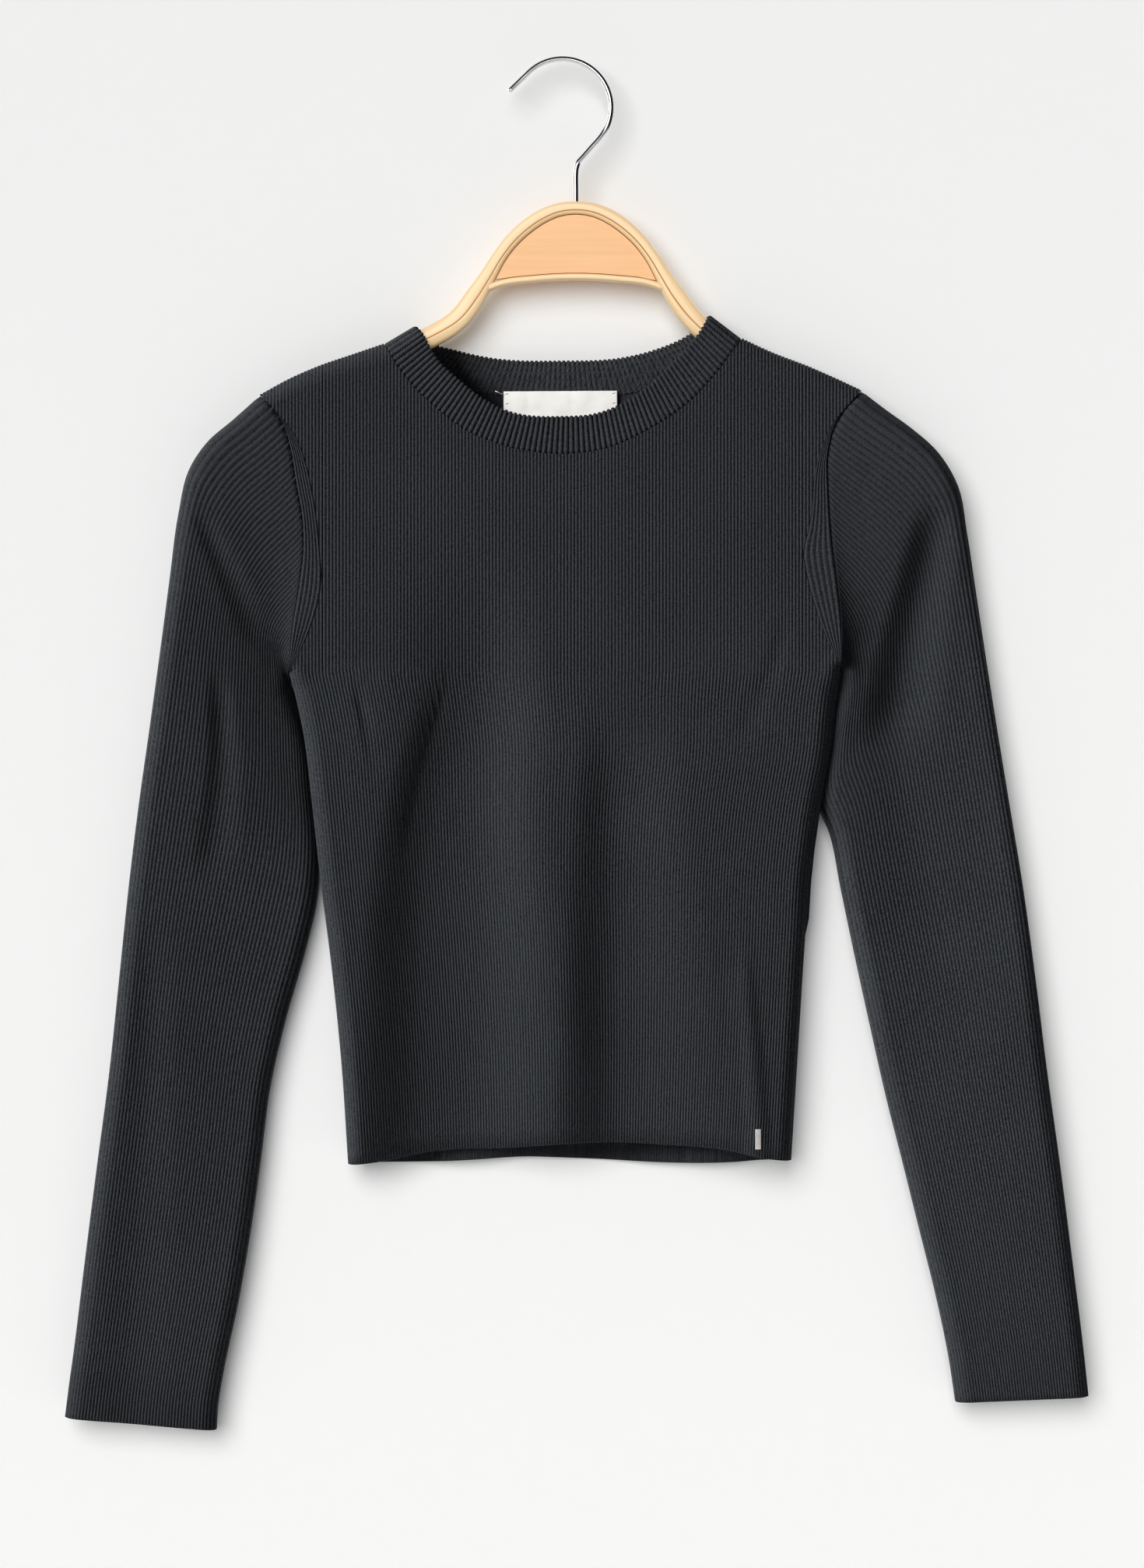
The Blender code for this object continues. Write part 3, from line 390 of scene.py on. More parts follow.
class Shape:
    """Gathers grids of points, with two numbers for the material at each, into one mesh."""

    def __init__(self):
        self.points, self.uvs, self.faces, self.count = [], [], [], 0

    def grid(self, points, uv, wrap=False, flip=False):
        rows, columns = points.shape[:2]
        index = np.arange(rows * columns).reshape(rows, columns) + self.count
        if wrap:
            index = np.concatenate([index, index[:, :1]], 1)
        corners = [index[:-1, :-1], index[:-1, 1:], index[1:, 1:], index[1:, :-1]]
        if flip:
            corners = corners[::-1]
        self.faces.append(np.stack(corners, -1).reshape(-1, 4))
        self.points.append(points.reshape(-1, 3))
        self.uvs.append(np.broadcast_to(uv, points.shape[:2] + (2,)).reshape(-1, 2))
        self.count += rows * columns
        return index

    def stitch(self, fine, coarse, step, flip=False):
        """Joins a ring of points to a coarser ring that has one point for every `step`."""
        ring = np.arange(len(fine) - 1)
        to = (ring + step // 2) // step
        fans = [fine[ring], fine[ring + 1], coarse[to]]
        turn = np.arange(len(coarse) - 1)
        rim = [coarse[turn], fine[turn * step + step // 2], coarse[turn + 1]]
        for corners in (fans, rim[::-1]):
            self.faces.append(np.stack(corners[::-1] if flip else corners, -1))

    def fan(self, ring, uv, flip=False):
        """Closes a ring of points with triangles round its middle."""
        index = np.arange(len(ring)) + self.count
        middle = np.full(len(ring), self.count + len(ring))
        corners = [index, np.roll(index, -1), middle]
        self.faces.append(np.stack(corners[::-1] if flip else corners, -1))
        self.points.append(np.concatenate([ring, ring.mean(0, keepdims=True)]))
        self.uvs.append(np.concatenate([uv, uv.mean(0, keepdims=True)]))
        self.count += len(ring) + 1

    def build(self, name, look, nodes, slot):
        """One piece, with what it stands for, if anything; its kind of material is not used."""
        points, uvs = np.concatenate(self.points), np.concatenate(self.uvs)
        faces = [face for group in self.faces for face in np.asarray(group).tolist()]
        mesh = bpy.data.meshes.new(name)
        mesh.from_pydata(points.tolist(), [], faces)
        corners = np.empty(len(mesh.loops), np.int32)
        mesh.loops.foreach_get("vertex_index", corners)
        layer = mesh.uv_layers.new(name="lay")
        layer.data.foreach_set("uv", uvs[corners].astype(np.float32).ravel())
        mesh.shade_smooth()
        mesh.materials.append(look)
        piece = add(name, mesh)
        if nodes:
            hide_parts(*nodes)
        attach(piece, "root")
        return piece


def every(count, step):
    """Every step-th number below count, and the last one."""
    return np.unique(np.append(np.arange(0, count, step), count - 1))


# ------------------------------------------------------------------ front and back panels

UNDERARM = -353.0 * MM  # where the upright ribs give way to ribs that follow the side folds
PANEL_ROWS = 56
LOBE_ROWS = 40
BAND_ROWS = 64
LIP = 9.0 * MM  # how far the turned edge reaches up inside the hem
OVERHANG = 18 * MM  # how far the panel's lattice of columns runs past the underarm's width
INNER_COLUMNS = 8  # outer columns to one column of the inside
FASHION_POINTS = 100
BODY_CENTRE = (0.0, -0.38)  # a place well inside the panel's outline


def column_places():
    """x of every column at the underarm, on one lattice that runs past the panel's sides."""
    right, left = ARMHOLE["right"][-1][1] * MM, ARMHOLE["left"][-1][1] * MM
    step = (left - right) / (BODY_RIBS * COLUMNS_PER_RIB)
    beyond = math.ceil(OVERHANG / (step * COLUMNS_PER_RIB)) * COLUMNS_PER_RIB
    number = np.arange(-beyond, BODY_RIBS * COLUMNS_PER_RIB + beyond + 1)
    return number, right + number * step


def column_x(start, height):
    """x of a column at a height: upright above the underarm, following the sides below."""
    right, left = edge_x("right", np.array(UNDERARM)), edge_x("left", np.array(UNDERARM))
    share = (start - right) / (left - right)
    low = np.minimum(height, UNDERARM)
    below = edge_x("right", low) * (1 - share) + edge_x("left", low) * share
    return np.where(height < UNDERARM, below, start)


def top_height(face, x):
    """Height of the panel's upper edge: the shoulder lines and the neck seam."""
    line = np.concatenate([smooth_line(SHOULDER["right"])[::-1],
                           smooth_line(NECK_SEAM[face], NECK_POINTS)[1:-1],
                           smooth_line(SHOULDER["left"])])
    return np.interp(x, line[:, 0], line[:, 1])


def hem_height(face, start):
    hem_x, hem_z = table(HEM[face]).T
    return smooth(column_x(start, np.full_like(start, hem_z.mean())), hem_x, hem_z)


def fashion_line(side):
    """The band's inner line as fine rows of height and x, from the top down."""
    rows = table(FASHION[side])
    height = np.linspace(rows[0, 0], rows[-1, 0], FASHION_POINTS)
    return np.stack([height, smooth(height, rows[:, 0], rows[:, 1])], -1)


def boundary(side, upper):
    """The band's inner line as heights over x: its upper part, with the seam above, or lower."""
    rows = fashion_line(side)
    widest = int(np.argmax(-rows[:, 1] * SIDES[side]))
    seam = table(ARMHOLE[side])
    seam = seam[seam[:, 0] > rows[0, 0]]
    line = np.concatenate([seam, rows[:widest + 1]]) if upper else rows[widest:]
    order = np.argsort(line[:, 1])
    return line[order, 1], line[order, 0]


def panel_grid(shape, face, start, number, low, high, rows, sink, hem):
    """One field of upright ribs between two heights, sunk in at its top, with its inside."""
    turn = np.linspace(1, 0, rows)[:, None] * math.pi / 2
    height = high - (high - low) * (1 - np.cos(turn))
    outer, normal = drape_body(pairs(column_x(start, height), height), face)
    lift = (RIB_PROFILE[number % COLUMNS_PER_RIB] * RIB_HEIGHT)[:, None]
    uv = pairs(number / COLUMNS_PER_RIB, height / COURSE)
    raised, inner = outer + normal * lift, outer - normal * WALL
    grid = [raised, raised[-1:] - normal[-1:] * (sink + lift)]
    if hem:
        rim = outer[:1] - normal[:1] * WALL / 2 - (0, 0, RIM)
        grid = [inner[:1] + (0, 0, LIP), inner[:1], rim] + grid
        uv = np.concatenate([uv[:1]] * 3 + [uv])
    flip = face == "back"
    shape.grid(np.concatenate(grid), np.concatenate([uv, uv[-1:]]), flip=flip)
    pick = np.ix_(every(rows, INNER_ROWS), every(len(start), INNER_COLUMNS))
    shape.grid(inner[pick], uv[pick], flip=not flip)


def band_grid(shape, face, side):
    """The fashioned band: ribs that run along the armhole."""
    rows = fashion_line(side)
    height = np.linspace(rows[-1, 0], rows[0, 0], BAND_ROWS)
    seam = edge_x(side, np.maximum(height, ARMHOLE[side][-1][0] * MM))
    line = np.interp(height, rows[::-1, 0], rows[::-1, 1])
    number = np.arange(BAND_RIBS * COLUMNS_PER_RIB + 1)
    x = seam[:, None] + (line - seam)[:, None] * number / number[-1]
    outer, normal = drape_body(pairs(x, height[:, None]), face)
    lift = RIB_PROFILE[number % COLUMNS_PER_RIB] * RIB_HEIGHT
    lift[[0, -1]] = -SEAM_SINK, -BAND_SINK
    uv = pairs(number / COLUMNS_PER_RIB, height[:, None] / COURSE)
    flip = (face == "back") != (side == "left")
    shape.grid(outer + normal * lift[:, None], uv, flip=flip)
    pick = np.ix_(every(BAND_ROWS, INNER_ROWS), every(len(number), COLUMNS_PER_RIB))
    shape.grid((outer - normal * WALL)[pick], uv[pick], flip=not flip)


def panel(face, look):
    """A body panel: a middle field of ribs, and on each side one above and one below the band."""
    shape = Shape()
    number, start = column_places()
    widest = {side: boundary(side, False)[0][-1 if side == "right" else 0] for side in SIDES}
    middle = (start >= widest["right"]) & (start <= widest["left"])
    first, last = np.flatnonzero(middle)[[0, -1]]
    first += -number[first] % COLUMNS_PER_RIB
    last -= number[last] % COLUMNS_PER_RIB
    pick = slice(first, last + 1)
    panel_grid(shape, face, start[pick], number[pick], hem_height(face, start[pick]),
               top_height(face, start[pick]), PANEL_ROWS, NECK_SINK, True)
    for side, field in {"right": slice(0, first + 1), "left": slice(last, None)}.items():
        x, count = start[field], number[field]
        within = (x - SHOULDER[side][-1][0] * MM) * SIDES[side] <= 0
        low = np.interp(x, *boundary(side, True))
        panel_grid(shape, face, x[within], count[within], low[within],
                   top_height(face, x[within]), LOBE_ROWS, SEAM_SINK, False)
        within = (x - SIDE[side][0][1] * MM) * SIDES[side] <= ROUNDING
        high = np.interp(x, *boundary(side, False))
        panel_grid(shape, face, x[within], count[within], hem_height(face, x[within]),
                   high[within], PANEL_ROWS, BAND_SINK, True)
        band_grid(shape, face, side)
    return shape.build(f"{face}_knit", look, [face], "knit")


# ------------------------------------------------------------------ sleeves

SLEEVE_RINGS = 84
SLEEVE_RING = 7.5 * MM  # from one ring to the next, on average
INNER_STEP = 6  # outer columns to one column of the inside
CAP_SECTIONS = (7, 1)  # sections over which the armhole's curve fades, at the top and underarm


def sleeve_points(side):
    """A sleeve's face as rings of (x, z), outer fold first, and how far back each point is set."""
    stations = table(SLEEVE[side])
    row = np.linspace(0, len(stations) - 1, SLEEVE_RINGS + 1)
    outer, inner = at_stations(stations[:, :2], row), at_stations(stations[:, 2:4], row)
    behind = smooth(row, np.arange(len(stations)), stations[:, 4])
    share = np.linspace(0, 1, SLEEVE_RIBS * COLUMNS_PER_RIB + 1)
    tip, underarm = ARMHOLE[side][0][0] * MM, ARMHOLE[side][-1][0] * MM
    seam_z = tip + (underarm - tip) * share
    seam = pairs(edge_x(side, seam_z), seam_z)
    straight = outer[:, None] + (inner - outer)[:, None] * share[:, None]
    reach = CAP_SECTIONS[0] + (CAP_SECTIONS[1] - CAP_SECTIONS[0]) * share
    cap = np.cos(np.clip(row[:, None] / reach, 0, 1) * math.pi / 2) ** 2
    points = straight + (seam - straight[0]) * cap[..., None]
    eased = share**2 * (3 - 2 * share)
    return points, behind[:, None] * eased


def sleeve(side, look):
    """A closed tube of cloth: both faces with their ribs, the cuff's rim and the inside."""
    points, set_back = sleeve_points(side)
    half_depth = half_depths(points, SLEEVE["right"][-1][1] * MM, CUFF_HALF_DEPTH)
    columns = points.shape[1]
    centre = points[:, columns // 2][:, None]
    phase = np.arange(columns) % COLUMNS_PER_RIB
    lift = np.broadcast_to(RIB_PROFILE[phase] * RIB_HEIGHT, points.shape[:2]).copy()
    lift[0] = -SEAM_SINK
    grids = []
    for face in FACES:
        outer, normal = drape(points, centre, sleeve_folds(side), half_depth, face,
                              [face, f"{face} sleeve"])
        outer += set_back[..., None] * (0, 1, 0)
        grids.append((outer, normal))
    outer, normal = [np.concatenate([front, back[:, -2:0:-1]], 1) for front, back in zip(*grids)]
    lift = np.concatenate([lift, lift[:, -2:0:-1]], 1)
    raised, inner = outer + normal * lift[..., None], outer - normal * WALL
    along = unit(outer[-1:] - outer[-2:-1])
    rim = outer[-1:] - normal[-1:] * WALL / 2 + along * RIM
    grid = np.concatenate([raised, rim])
    number = np.arange(grid.shape[1]) / COLUMNS_PER_RIB
    course = np.arange(grid.shape[0]) * SLEEVE_RING / COURSE
    uv = pairs(number, course[:, None])
    shape = Shape()
    flip = side == "left"
    fine = shape.grid(grid, uv, wrap=True, flip=flip)
    pick = np.ix_(every(len(inner), INNER_ROWS), np.arange(0, inner.shape[1], INNER_STEP))
    coarse = shape.grid(inner[pick], uv[:len(inner)][pick], wrap=True, flip=not flip)
    shape.stitch(fine[0], coarse[0], INNER_STEP, not flip)
    shape.stitch(fine[-1], coarse[-1], INNER_STEP, flip)
    return shape.build(f"sleeve_{side}_knit", look, [f"sleeve_{side}"], "knit")


# ------------------------------------------------------------------ collar

COLLAR_CENTRE = (0.0, -0.18)  # a place below the neck's opening
COLLAR_RIB_PITCH = 2.95 * MM
COLLAR_RIB_HEIGHT = 0.9 * MM
COLLAR_PROFILE = np.array([0.0, 0.62, 0.94, 1.0, 0.94, 0.62])  # over one rib, from its valley
COLLAR_BASE = 0.35  # the height on that profile that lies on the plain surface
COLLAR_COURSES = 2.0  # rows of stitches from one row of points to the next
RIB_END = 1.1 * MM  # how much longer a rib is than a valley, at each of its ends
END_MIDDLES = (0.5, 0.6)  # the height on the profile whose end lies on the seam, and on the edge
BAND_SHARES = np.array([0.0, 0.05, 0.12, 0.22, 0.36, 0.52, 0.68, 0.82, 0.92, 1.0])
EDGE_TURNS = np.radians([30, 60, 90, 120, 150])  # places over the free edge, from the outside
EDGE_ROUNDING = 0.9 * MM
INNER_RIBS = -0.3  # height of the ribs inside, as a share of that outside
EDGE_RIBS = [0.9, 0.6, 0.3, 0.0, -0.2]  # and over the free edge


def collar_face(face):
    """One face of the band as a grid: up the outside, over the free edge, down the inside."""
    seam, edge = [smooth_line(rows[face], NECK_POINTS) for rows in (NECK_SEAM, COLLAR_EDGE)]
    mean = (lengths(seam)[-1] + lengths(edge)[-1]) / 2
    per_rib = len(COLLAR_PROFILE)
    at = np.linspace(0, 1, round(mean / COLLAR_RIB_PITCH) * per_rib + 1)
    low, high = [follow(line, at * lengths(line)[-1]) for line in (seam, edge)]
    crest = COLLAR_PROFILE[np.arange(len(at)) % per_rib]
    up = unit(high - low)
    low = low - up * (crest[:, None] - END_MIDDLES[0]) * RIB_END
    high = high + up * (crest[:, None] - END_MIDDLES[1]) * RIB_END
    points = low + (high - low) * BAND_SHARES[:, None, None]
    depth = np.full(points.shape[:-1], HALF_DEPTH)
    outer, normal = drape(points, COLLAR_CENTRE, body_folds(), depth, face, [])
    up = np.stack([up[:, 0], np.zeros(len(up)), up[:, 1]], -1)
    turn = EDGE_TURNS[:, None, None]
    inward = (1 - np.cos(turn)) / 2 * COLLAR_WALL
    over = outer[-1] - normal[-1] * inward + up * np.sin(turn) * EDGE_ROUNDING
    inner = (outer - normal * COLLAR_WALL)[::-INNER_ROWS]
    grid = np.concatenate([outer, over, inner])
    normals = np.concatenate([normal, np.broadcast_to(normal[-1], over.shape),
                              normal[::-INNER_ROWS]])
    lift = np.array([1.0] * len(outer) + EDGE_RIBS + [INNER_RIBS] * len(inner))[:, None]
    grid += normals * (lift * (crest - COLLAR_BASE) * COLLAR_RIB_HEIGHT)[..., None]
    grid[0] -= normal[0] * NECK_SINK
    return grid


def collar(look):
    """The ribbed band: its ribs stand square to the neck and loop over the free edge."""
    front, back = [collar_face(face) for face in FACES]
    grid = np.concatenate([front, back[:, -2:0:-1]], 1)
    number = np.arange(grid.shape[1]) / len(COLLAR_PROFILE)
    course = np.arange(grid.shape[0])[:, None] * COLLAR_COURSES
    shape = Shape()
    shape.grid(grid, pairs(number, course), wrap=True)
    return shape.build("collar_knit", look, ["collar"], "knit")


# ------------------------------------------------------------------ hanger

FRAME_STATIONS, BAR_STATIONS = 240, 60
SECTION_TURNS = 15  # places over one face of the strip's section
GROOVE_WIDTH = 0.28 * MM
GROOVE_DEPTH = 0.45 * MM
GROOVE_PLACES = np.array([-1.6, -0.8, 0.0, 0.8, 1.6]) * GROOVE_WIDTH
GROOVE_SHARE = ([0, 42, 75], [-0.44, -0.42, -0.08])  # of the half height, by mm from the middle
NO_GROOVE = ARM_HALF_HEIGHT * 2  # keeps the groove's brown line off a bar that has none
SQUARENESS = ([0, 60, 82], [0.55, 0.55, 0.85])  # 1 is an ellipse, 0 a rectangle
TIP_SHARES = np.array([[0.0, 0.25], [0.1, 0.6], [0.4, 0.85], [1.0, 1.0]])  # place, size
TIP_LENGTH = 2.5 * MM


def below(along):
    """Unit vectors in x and z that are square to the vectors `along` and point down."""
    square = unit(pairs(along[:, 1], -along[:, 0]))
    return square * np.where(square[:, 1:] > 0, -1, 1)


def hanger_line():
    """Centre line and half heights of the bent strip, from the right arm's end to the left's."""
    arch = table(HANGER_ARCH)
    halves = {}
    for side, sign in SIDES.items():
        seen = np.stack([HANGER_X + sign * arch[:, 0], arch[:, 1], arch[:, 2]], -1)
        fold = top_fold(side)
        at = ARM_SAMPLES * MM
        along = follow(fold, at + ARM_STEP) - follow(fold, at - ARM_STEP)
        under = follow(fold, at) + below(along) * (ARM_COVER + ARM_HALF_HEIGHT)
        hidden = np.concatenate([under, np.full((len(at), 1), ARM_HALF_HEIGHT)], 1)
        halves[side] = np.concatenate([seen, hidden])
    return np.concatenate([halves["right"][::-1], halves["left"][1:]])


def strip_line(stations, count):
    """Places along a bar, its centre line, half heights, and its size near the rounded ends."""
    along = lengths(stations[:, :2])
    ends = TIP_SHARES[:, 0] * TIP_LENGTH
    middle = np.linspace(TIP_LENGTH, along[-1] - TIP_LENGTH, count)
    at = np.concatenate([ends[:-1], middle, along[-1] - ends[-2::-1]])
    line = curve(stations, along, at)
    size = np.interp(np.minimum(at, along[-1] - at), ends, TIP_SHARES[:, 1])[:, None]
    return at, line[:, :2], line[:, 2:] * size, size


def strip_section(far, half_height, size, half_thickness, grooved):
    """Heights over the bar's section, the same from its groove, and half its thickness there."""
    groove = np.interp(far, *GROOVE_SHARE) * half_height
    base = np.sin(np.linspace(-1, 1, SECTION_TURNS) * math.pi / 2) * half_height
    height = np.sort(np.concatenate([base, groove + GROOVE_PLACES * size], 1), 1)
    power = 2 / np.interp(far, *SQUARENESS)
    share = np.clip(np.abs(height) / half_height, 0, 1)
    out = (1 - share**power) ** (1 / power) * half_thickness * size
    if not grooved:
        return height, height + NO_GROOVE, out
    sunk = GROOVE_DEPTH * np.exp(-((height - groove) / GROOVE_WIDTH) ** 2) * size
    return height, height - groove, out - sunk


def strip(shape, stations, half_thickness, count, grooved):
    """A bar of rounded section along (x, height, half height) rows, grooved on both faces."""
    at, centre, half_height, size = strip_line(stations, count)
    direction = unit(np.gradient(centre, axis=0))
    across = pairs(-direction[:, 1], direction[:, 0])
    far = np.abs(centre[:, :1] - HANGER_X) / MM
    section = strip_section(far, half_height, size, half_thickness, grooved)
    grids, uvs = [], []
    for side, turn in ((-1, slice(None)), (1, slice(-2, 0, -1))):
        up, beside, out = [rows[:, turn] for rows in section]
        x, z = centre[:, :1] + across[:, :1] * up, centre[:, 1:] + across[:, 1:] * up
        grids.append(np.stack([x, side * out, z], -1))
        uvs.append(pairs(at[:, None], beside) / MM)
    grid, uv = np.concatenate(grids, 1), np.concatenate(uvs, 1)
    shape.grid(grid, uv, wrap=True, flip=True)
    shape.fan(grid[0], uv[0])
    shape.fan(grid[-1], uv[-1], flip=True)


def hanger_frame(look):
    shape = Shape()
    strip(shape, hanger_line(), HANGER_HALF_THICKNESS, FRAME_STATIONS, True)
    bar = table(CROSSBAR) + (HANGER_X, 0)
    bar = np.concatenate([bar, np.full((len(bar), 1), CROSSBAR_HALF_HEIGHT)], 1)
    strip(shape, bar, CROSSBAR_HALF_THICKNESS, BAR_STATIONS, False)
    return shape.build("hanger_wood", look, ["hanger_frame"], "beech")


# ------------------------------------------------------------------ hook

HOOK_RADIUS = 28.0 * MM  # of the wire's centre line
HOOK_CENTRE = (0.4 * MM, WIRE_RADIUS - HOOK_RADIUS)
HOOK_ARC = (137.0, -38.0)  # degrees from +X, tip side first
TAIL = 14.5 * MM  # straight end of the wire past the arc
NECK_BEND = (HANGER_X + 0.6 * MM, -59.5 * MM)
SLOPE_PLACES = np.array([8.0, 16.0, 19.5]) * MM  # points on the straight part above the bend
BEND_ROUNDING = (-0.2 * MM, -2.0 * MM)  # from the neck bend to the point that rounds it off
SHANK_TOP = -66.0 * MM
SHANK_FOOT = -86.0 * MM
ARC_POINTS, SHANK_POINTS, HOOK_POINTS, HOOK_SIDES = 30, 4, 260, 28
TIP_REACH = 0.7 * WIRE_RADIUS  # over which the wire's free end rounds off
TIP_SHARE = 0.16  # of the wire's section that is left at its very end


def tube(shape, line, radii, sides):
    """A round tube along points in space whose path stays near one plane of y."""
    direction = unit(np.gradient(line, axis=0))
    first = unit(np.cross(direction, (0.0, 1.0, 0.0)))
    second = np.cross(first, direction)
    angle = np.arange(sides) * 2 * math.pi / sides
    spoke = (first[:, None] * np.cos(angle)[:, None] + second[:, None] * np.sin(angle)[:, None])
    grid = line[:, None] + spoke * np.asarray(radii)[:, None, None]
    uv = pairs(np.arange(sides) / sides, lengths(line)[:, None] / MM)
    shape.grid(grid, uv, wrap=True)
    shape.fan(grid[0], uv[0], flip=True)
    shape.fan(grid[-1], uv[-1])


def hook_line():
    angles = np.radians(np.linspace(*HOOK_ARC, ARC_POINTS))
    arc = pairs(np.cos(angles), np.sin(angles)) * HOOK_RADIUS + HOOK_CENTRE
    tail = arc[0] + unit(arc[0] - arc[1]) * np.array([[1.0], [0.5]]) * TAIL
    slope = follow(np.stack([arc[-1], NECK_BEND]), SLOPE_PLACES)
    bend = np.array([NECK_BEND]) + BEND_ROUNDING
    shank = pairs(HANGER_X, np.linspace(SHANK_TOP, SHANK_FOOT, SHANK_POINTS))
    return np.concatenate([tail, arc, slope, bend, shank]) / MM


def hook(look):
    line = smooth_line(hook_line(), HOOK_POINTS)
    line = np.stack([line[:, 0], np.zeros(len(line)), line[:, 1]], -1)
    along = lengths(line)
    radii = WIRE_RADIUS * np.sqrt(np.clip(along / TIP_REACH, TIP_SHARE, 1))
    shape = Shape()
    tube(shape, line, radii, HOOK_SIDES)
    return shape.build("hook_wire", look, ["hanger_hook"], "wire")


# ------------------------------------------------------------------ labels

GAP = 0.3 * MM
# Tabs, in millimetres: the node, the ranges of x and of height, the panel (a tab on the back
# lies inside it), the thickness, the ripple, and how much higher the end towards +X lies.
TABS = {
    "neck_label_ribbon": ("neck_label", (-33.8, 32.0), (-205.0, -190.0), "back", 0.6, 0.5, 0.4),
    "size_tab_ribbon": ("size_tab", (-9.5, 6.8), (-217.0, -205.4), "back", 0.6, 0.2, 0.0),
    "hem_tab_ribbon": ("hem_tab", (111.2, 114.4), (-627.5, -616.0), "front", 0.5, 0.0, 0.0),
}
TAB_GRID = (70, 22)
TAB_WAVES = [(9.0, 1.5, 0.6), (23.0, -2.0, 0.4)]  # radians along it and up it, share of the ripple
TAB_FLAT_END = 1 / 8  # the share of its length over which the ripple fades at each end

STITCH_COLUMNS, STITCH_ROWS = (2, -3), (2, 11, -3)  # of the label's grid
STITCH = np.array([0.9, 0.0, 0.3]) * 0.9 * MM  # from a stitch's middle to its end
STITCH_POINTS = 7
STITCH_SIDES = 6
STITCH_RISE = 0.12 * MM  # of its middle over the label
STITCH_DIP = 0.3 * MM  # of its ends from there
STITCH_RADIUS = 0.16 * MM
THREAD = [(-38.6, 3.4, -190.2), (-37.6, 2.6, -190.6), (-36.4, 2.9, -191.2),
          (-35.2, 3.8, -191.6), (-33.6, 4.8, -191.9)]
THREAD_RADIUS = 0.22 * MM
THREAD_POINTS = 20
THREAD_SIDES = 8


def tab_surface(name):
    """A small tab's near and far surfaces as grids, and the panel's normals there."""
    _, (x0, x1), (z0, z1), face, thickness, ripple, tilt = TABS[name]
    columns, rows = TAB_GRID
    x, z = np.meshgrid(np.linspace(x0, x1, columns) * MM, np.linspace(z0, z1, rows) * MM)
    outer, normal = drape_body(pairs(x, z), face)
    thickness = thickness * MM
    side, off = (-1, COLLAR_WALL + GAP + thickness) if face == "back" else (1, GAP)
    across, up = (x / MM - x0) / (x1 - x0), (z / MM - z0) / (z1 - z0)
    wave = sum(share * np.sin(across * along + up * rise) for along, rise, share in TAB_WAVES)
    ends = np.sin(np.clip(np.minimum(across, 1 - across) / TAB_FLAT_END, 0, 1) * math.pi / 2)
    near = outer + normal * (side * (off + ripple * MM * np.abs(wave) * ends))[..., None]
    near[..., 2] += tilt * MM * (across - 0.5)
    return near, near + normal * thickness, normal


def tab(name, look):
    low, high, _ = tab_surface(name)
    node, face = TABS[name][0], TABS[name][3]
    front, back = (low, high) if face == "back" else (high, low)
    ring = np.concatenate([front, back[:, ::-1]], 1)
    uv = ring[..., [0, 2]] / MM
    shape = Shape()
    shape.grid(ring, uv, wrap=True)
    shape.fan(ring[0], uv[0], flip=True)
    shape.fan(ring[-1], uv[-1])
    return shape.build(name, look, [node], "woven_label")


def label_stitches(look):
    """Short dark bars of thread that hold the neck label at its ends."""
    low, _, normal = tab_surface("neck_label_ribbon")
    shape = Shape()
    for column in STITCH_COLUMNS:
        for row in STITCH_ROWS:
            middle = low[row, column] - normal[row, column] * STITCH_RISE
            line = middle + np.linspace(-1, 1, STITCH_POINTS)[:, None] * STITCH
            line[[0, -1]] += normal[row, column] * STITCH_DIP
            tube(shape, line, np.full(len(line), STITCH_RADIUS), STITCH_SIDES)
    shape.build("label_stitches", look, [], "knit")


def thread_end(look):
    """The loose pale end of the label's sewing thread."""
    line = smooth_line(THREAD, THREAD_POINTS)
    shape = Shape()
    tube(shape, line, np.full(len(line), THREAD_RADIUS), THREAD_SIDES)
    shape.build("thread_end", look, [], "woven_label")


# ------------------------------------------------------------------ materials

KNIT_DARK = (0.0045, 0.005, 0.006)
KNIT_PALE = (0.036, 0.039, 0.044)


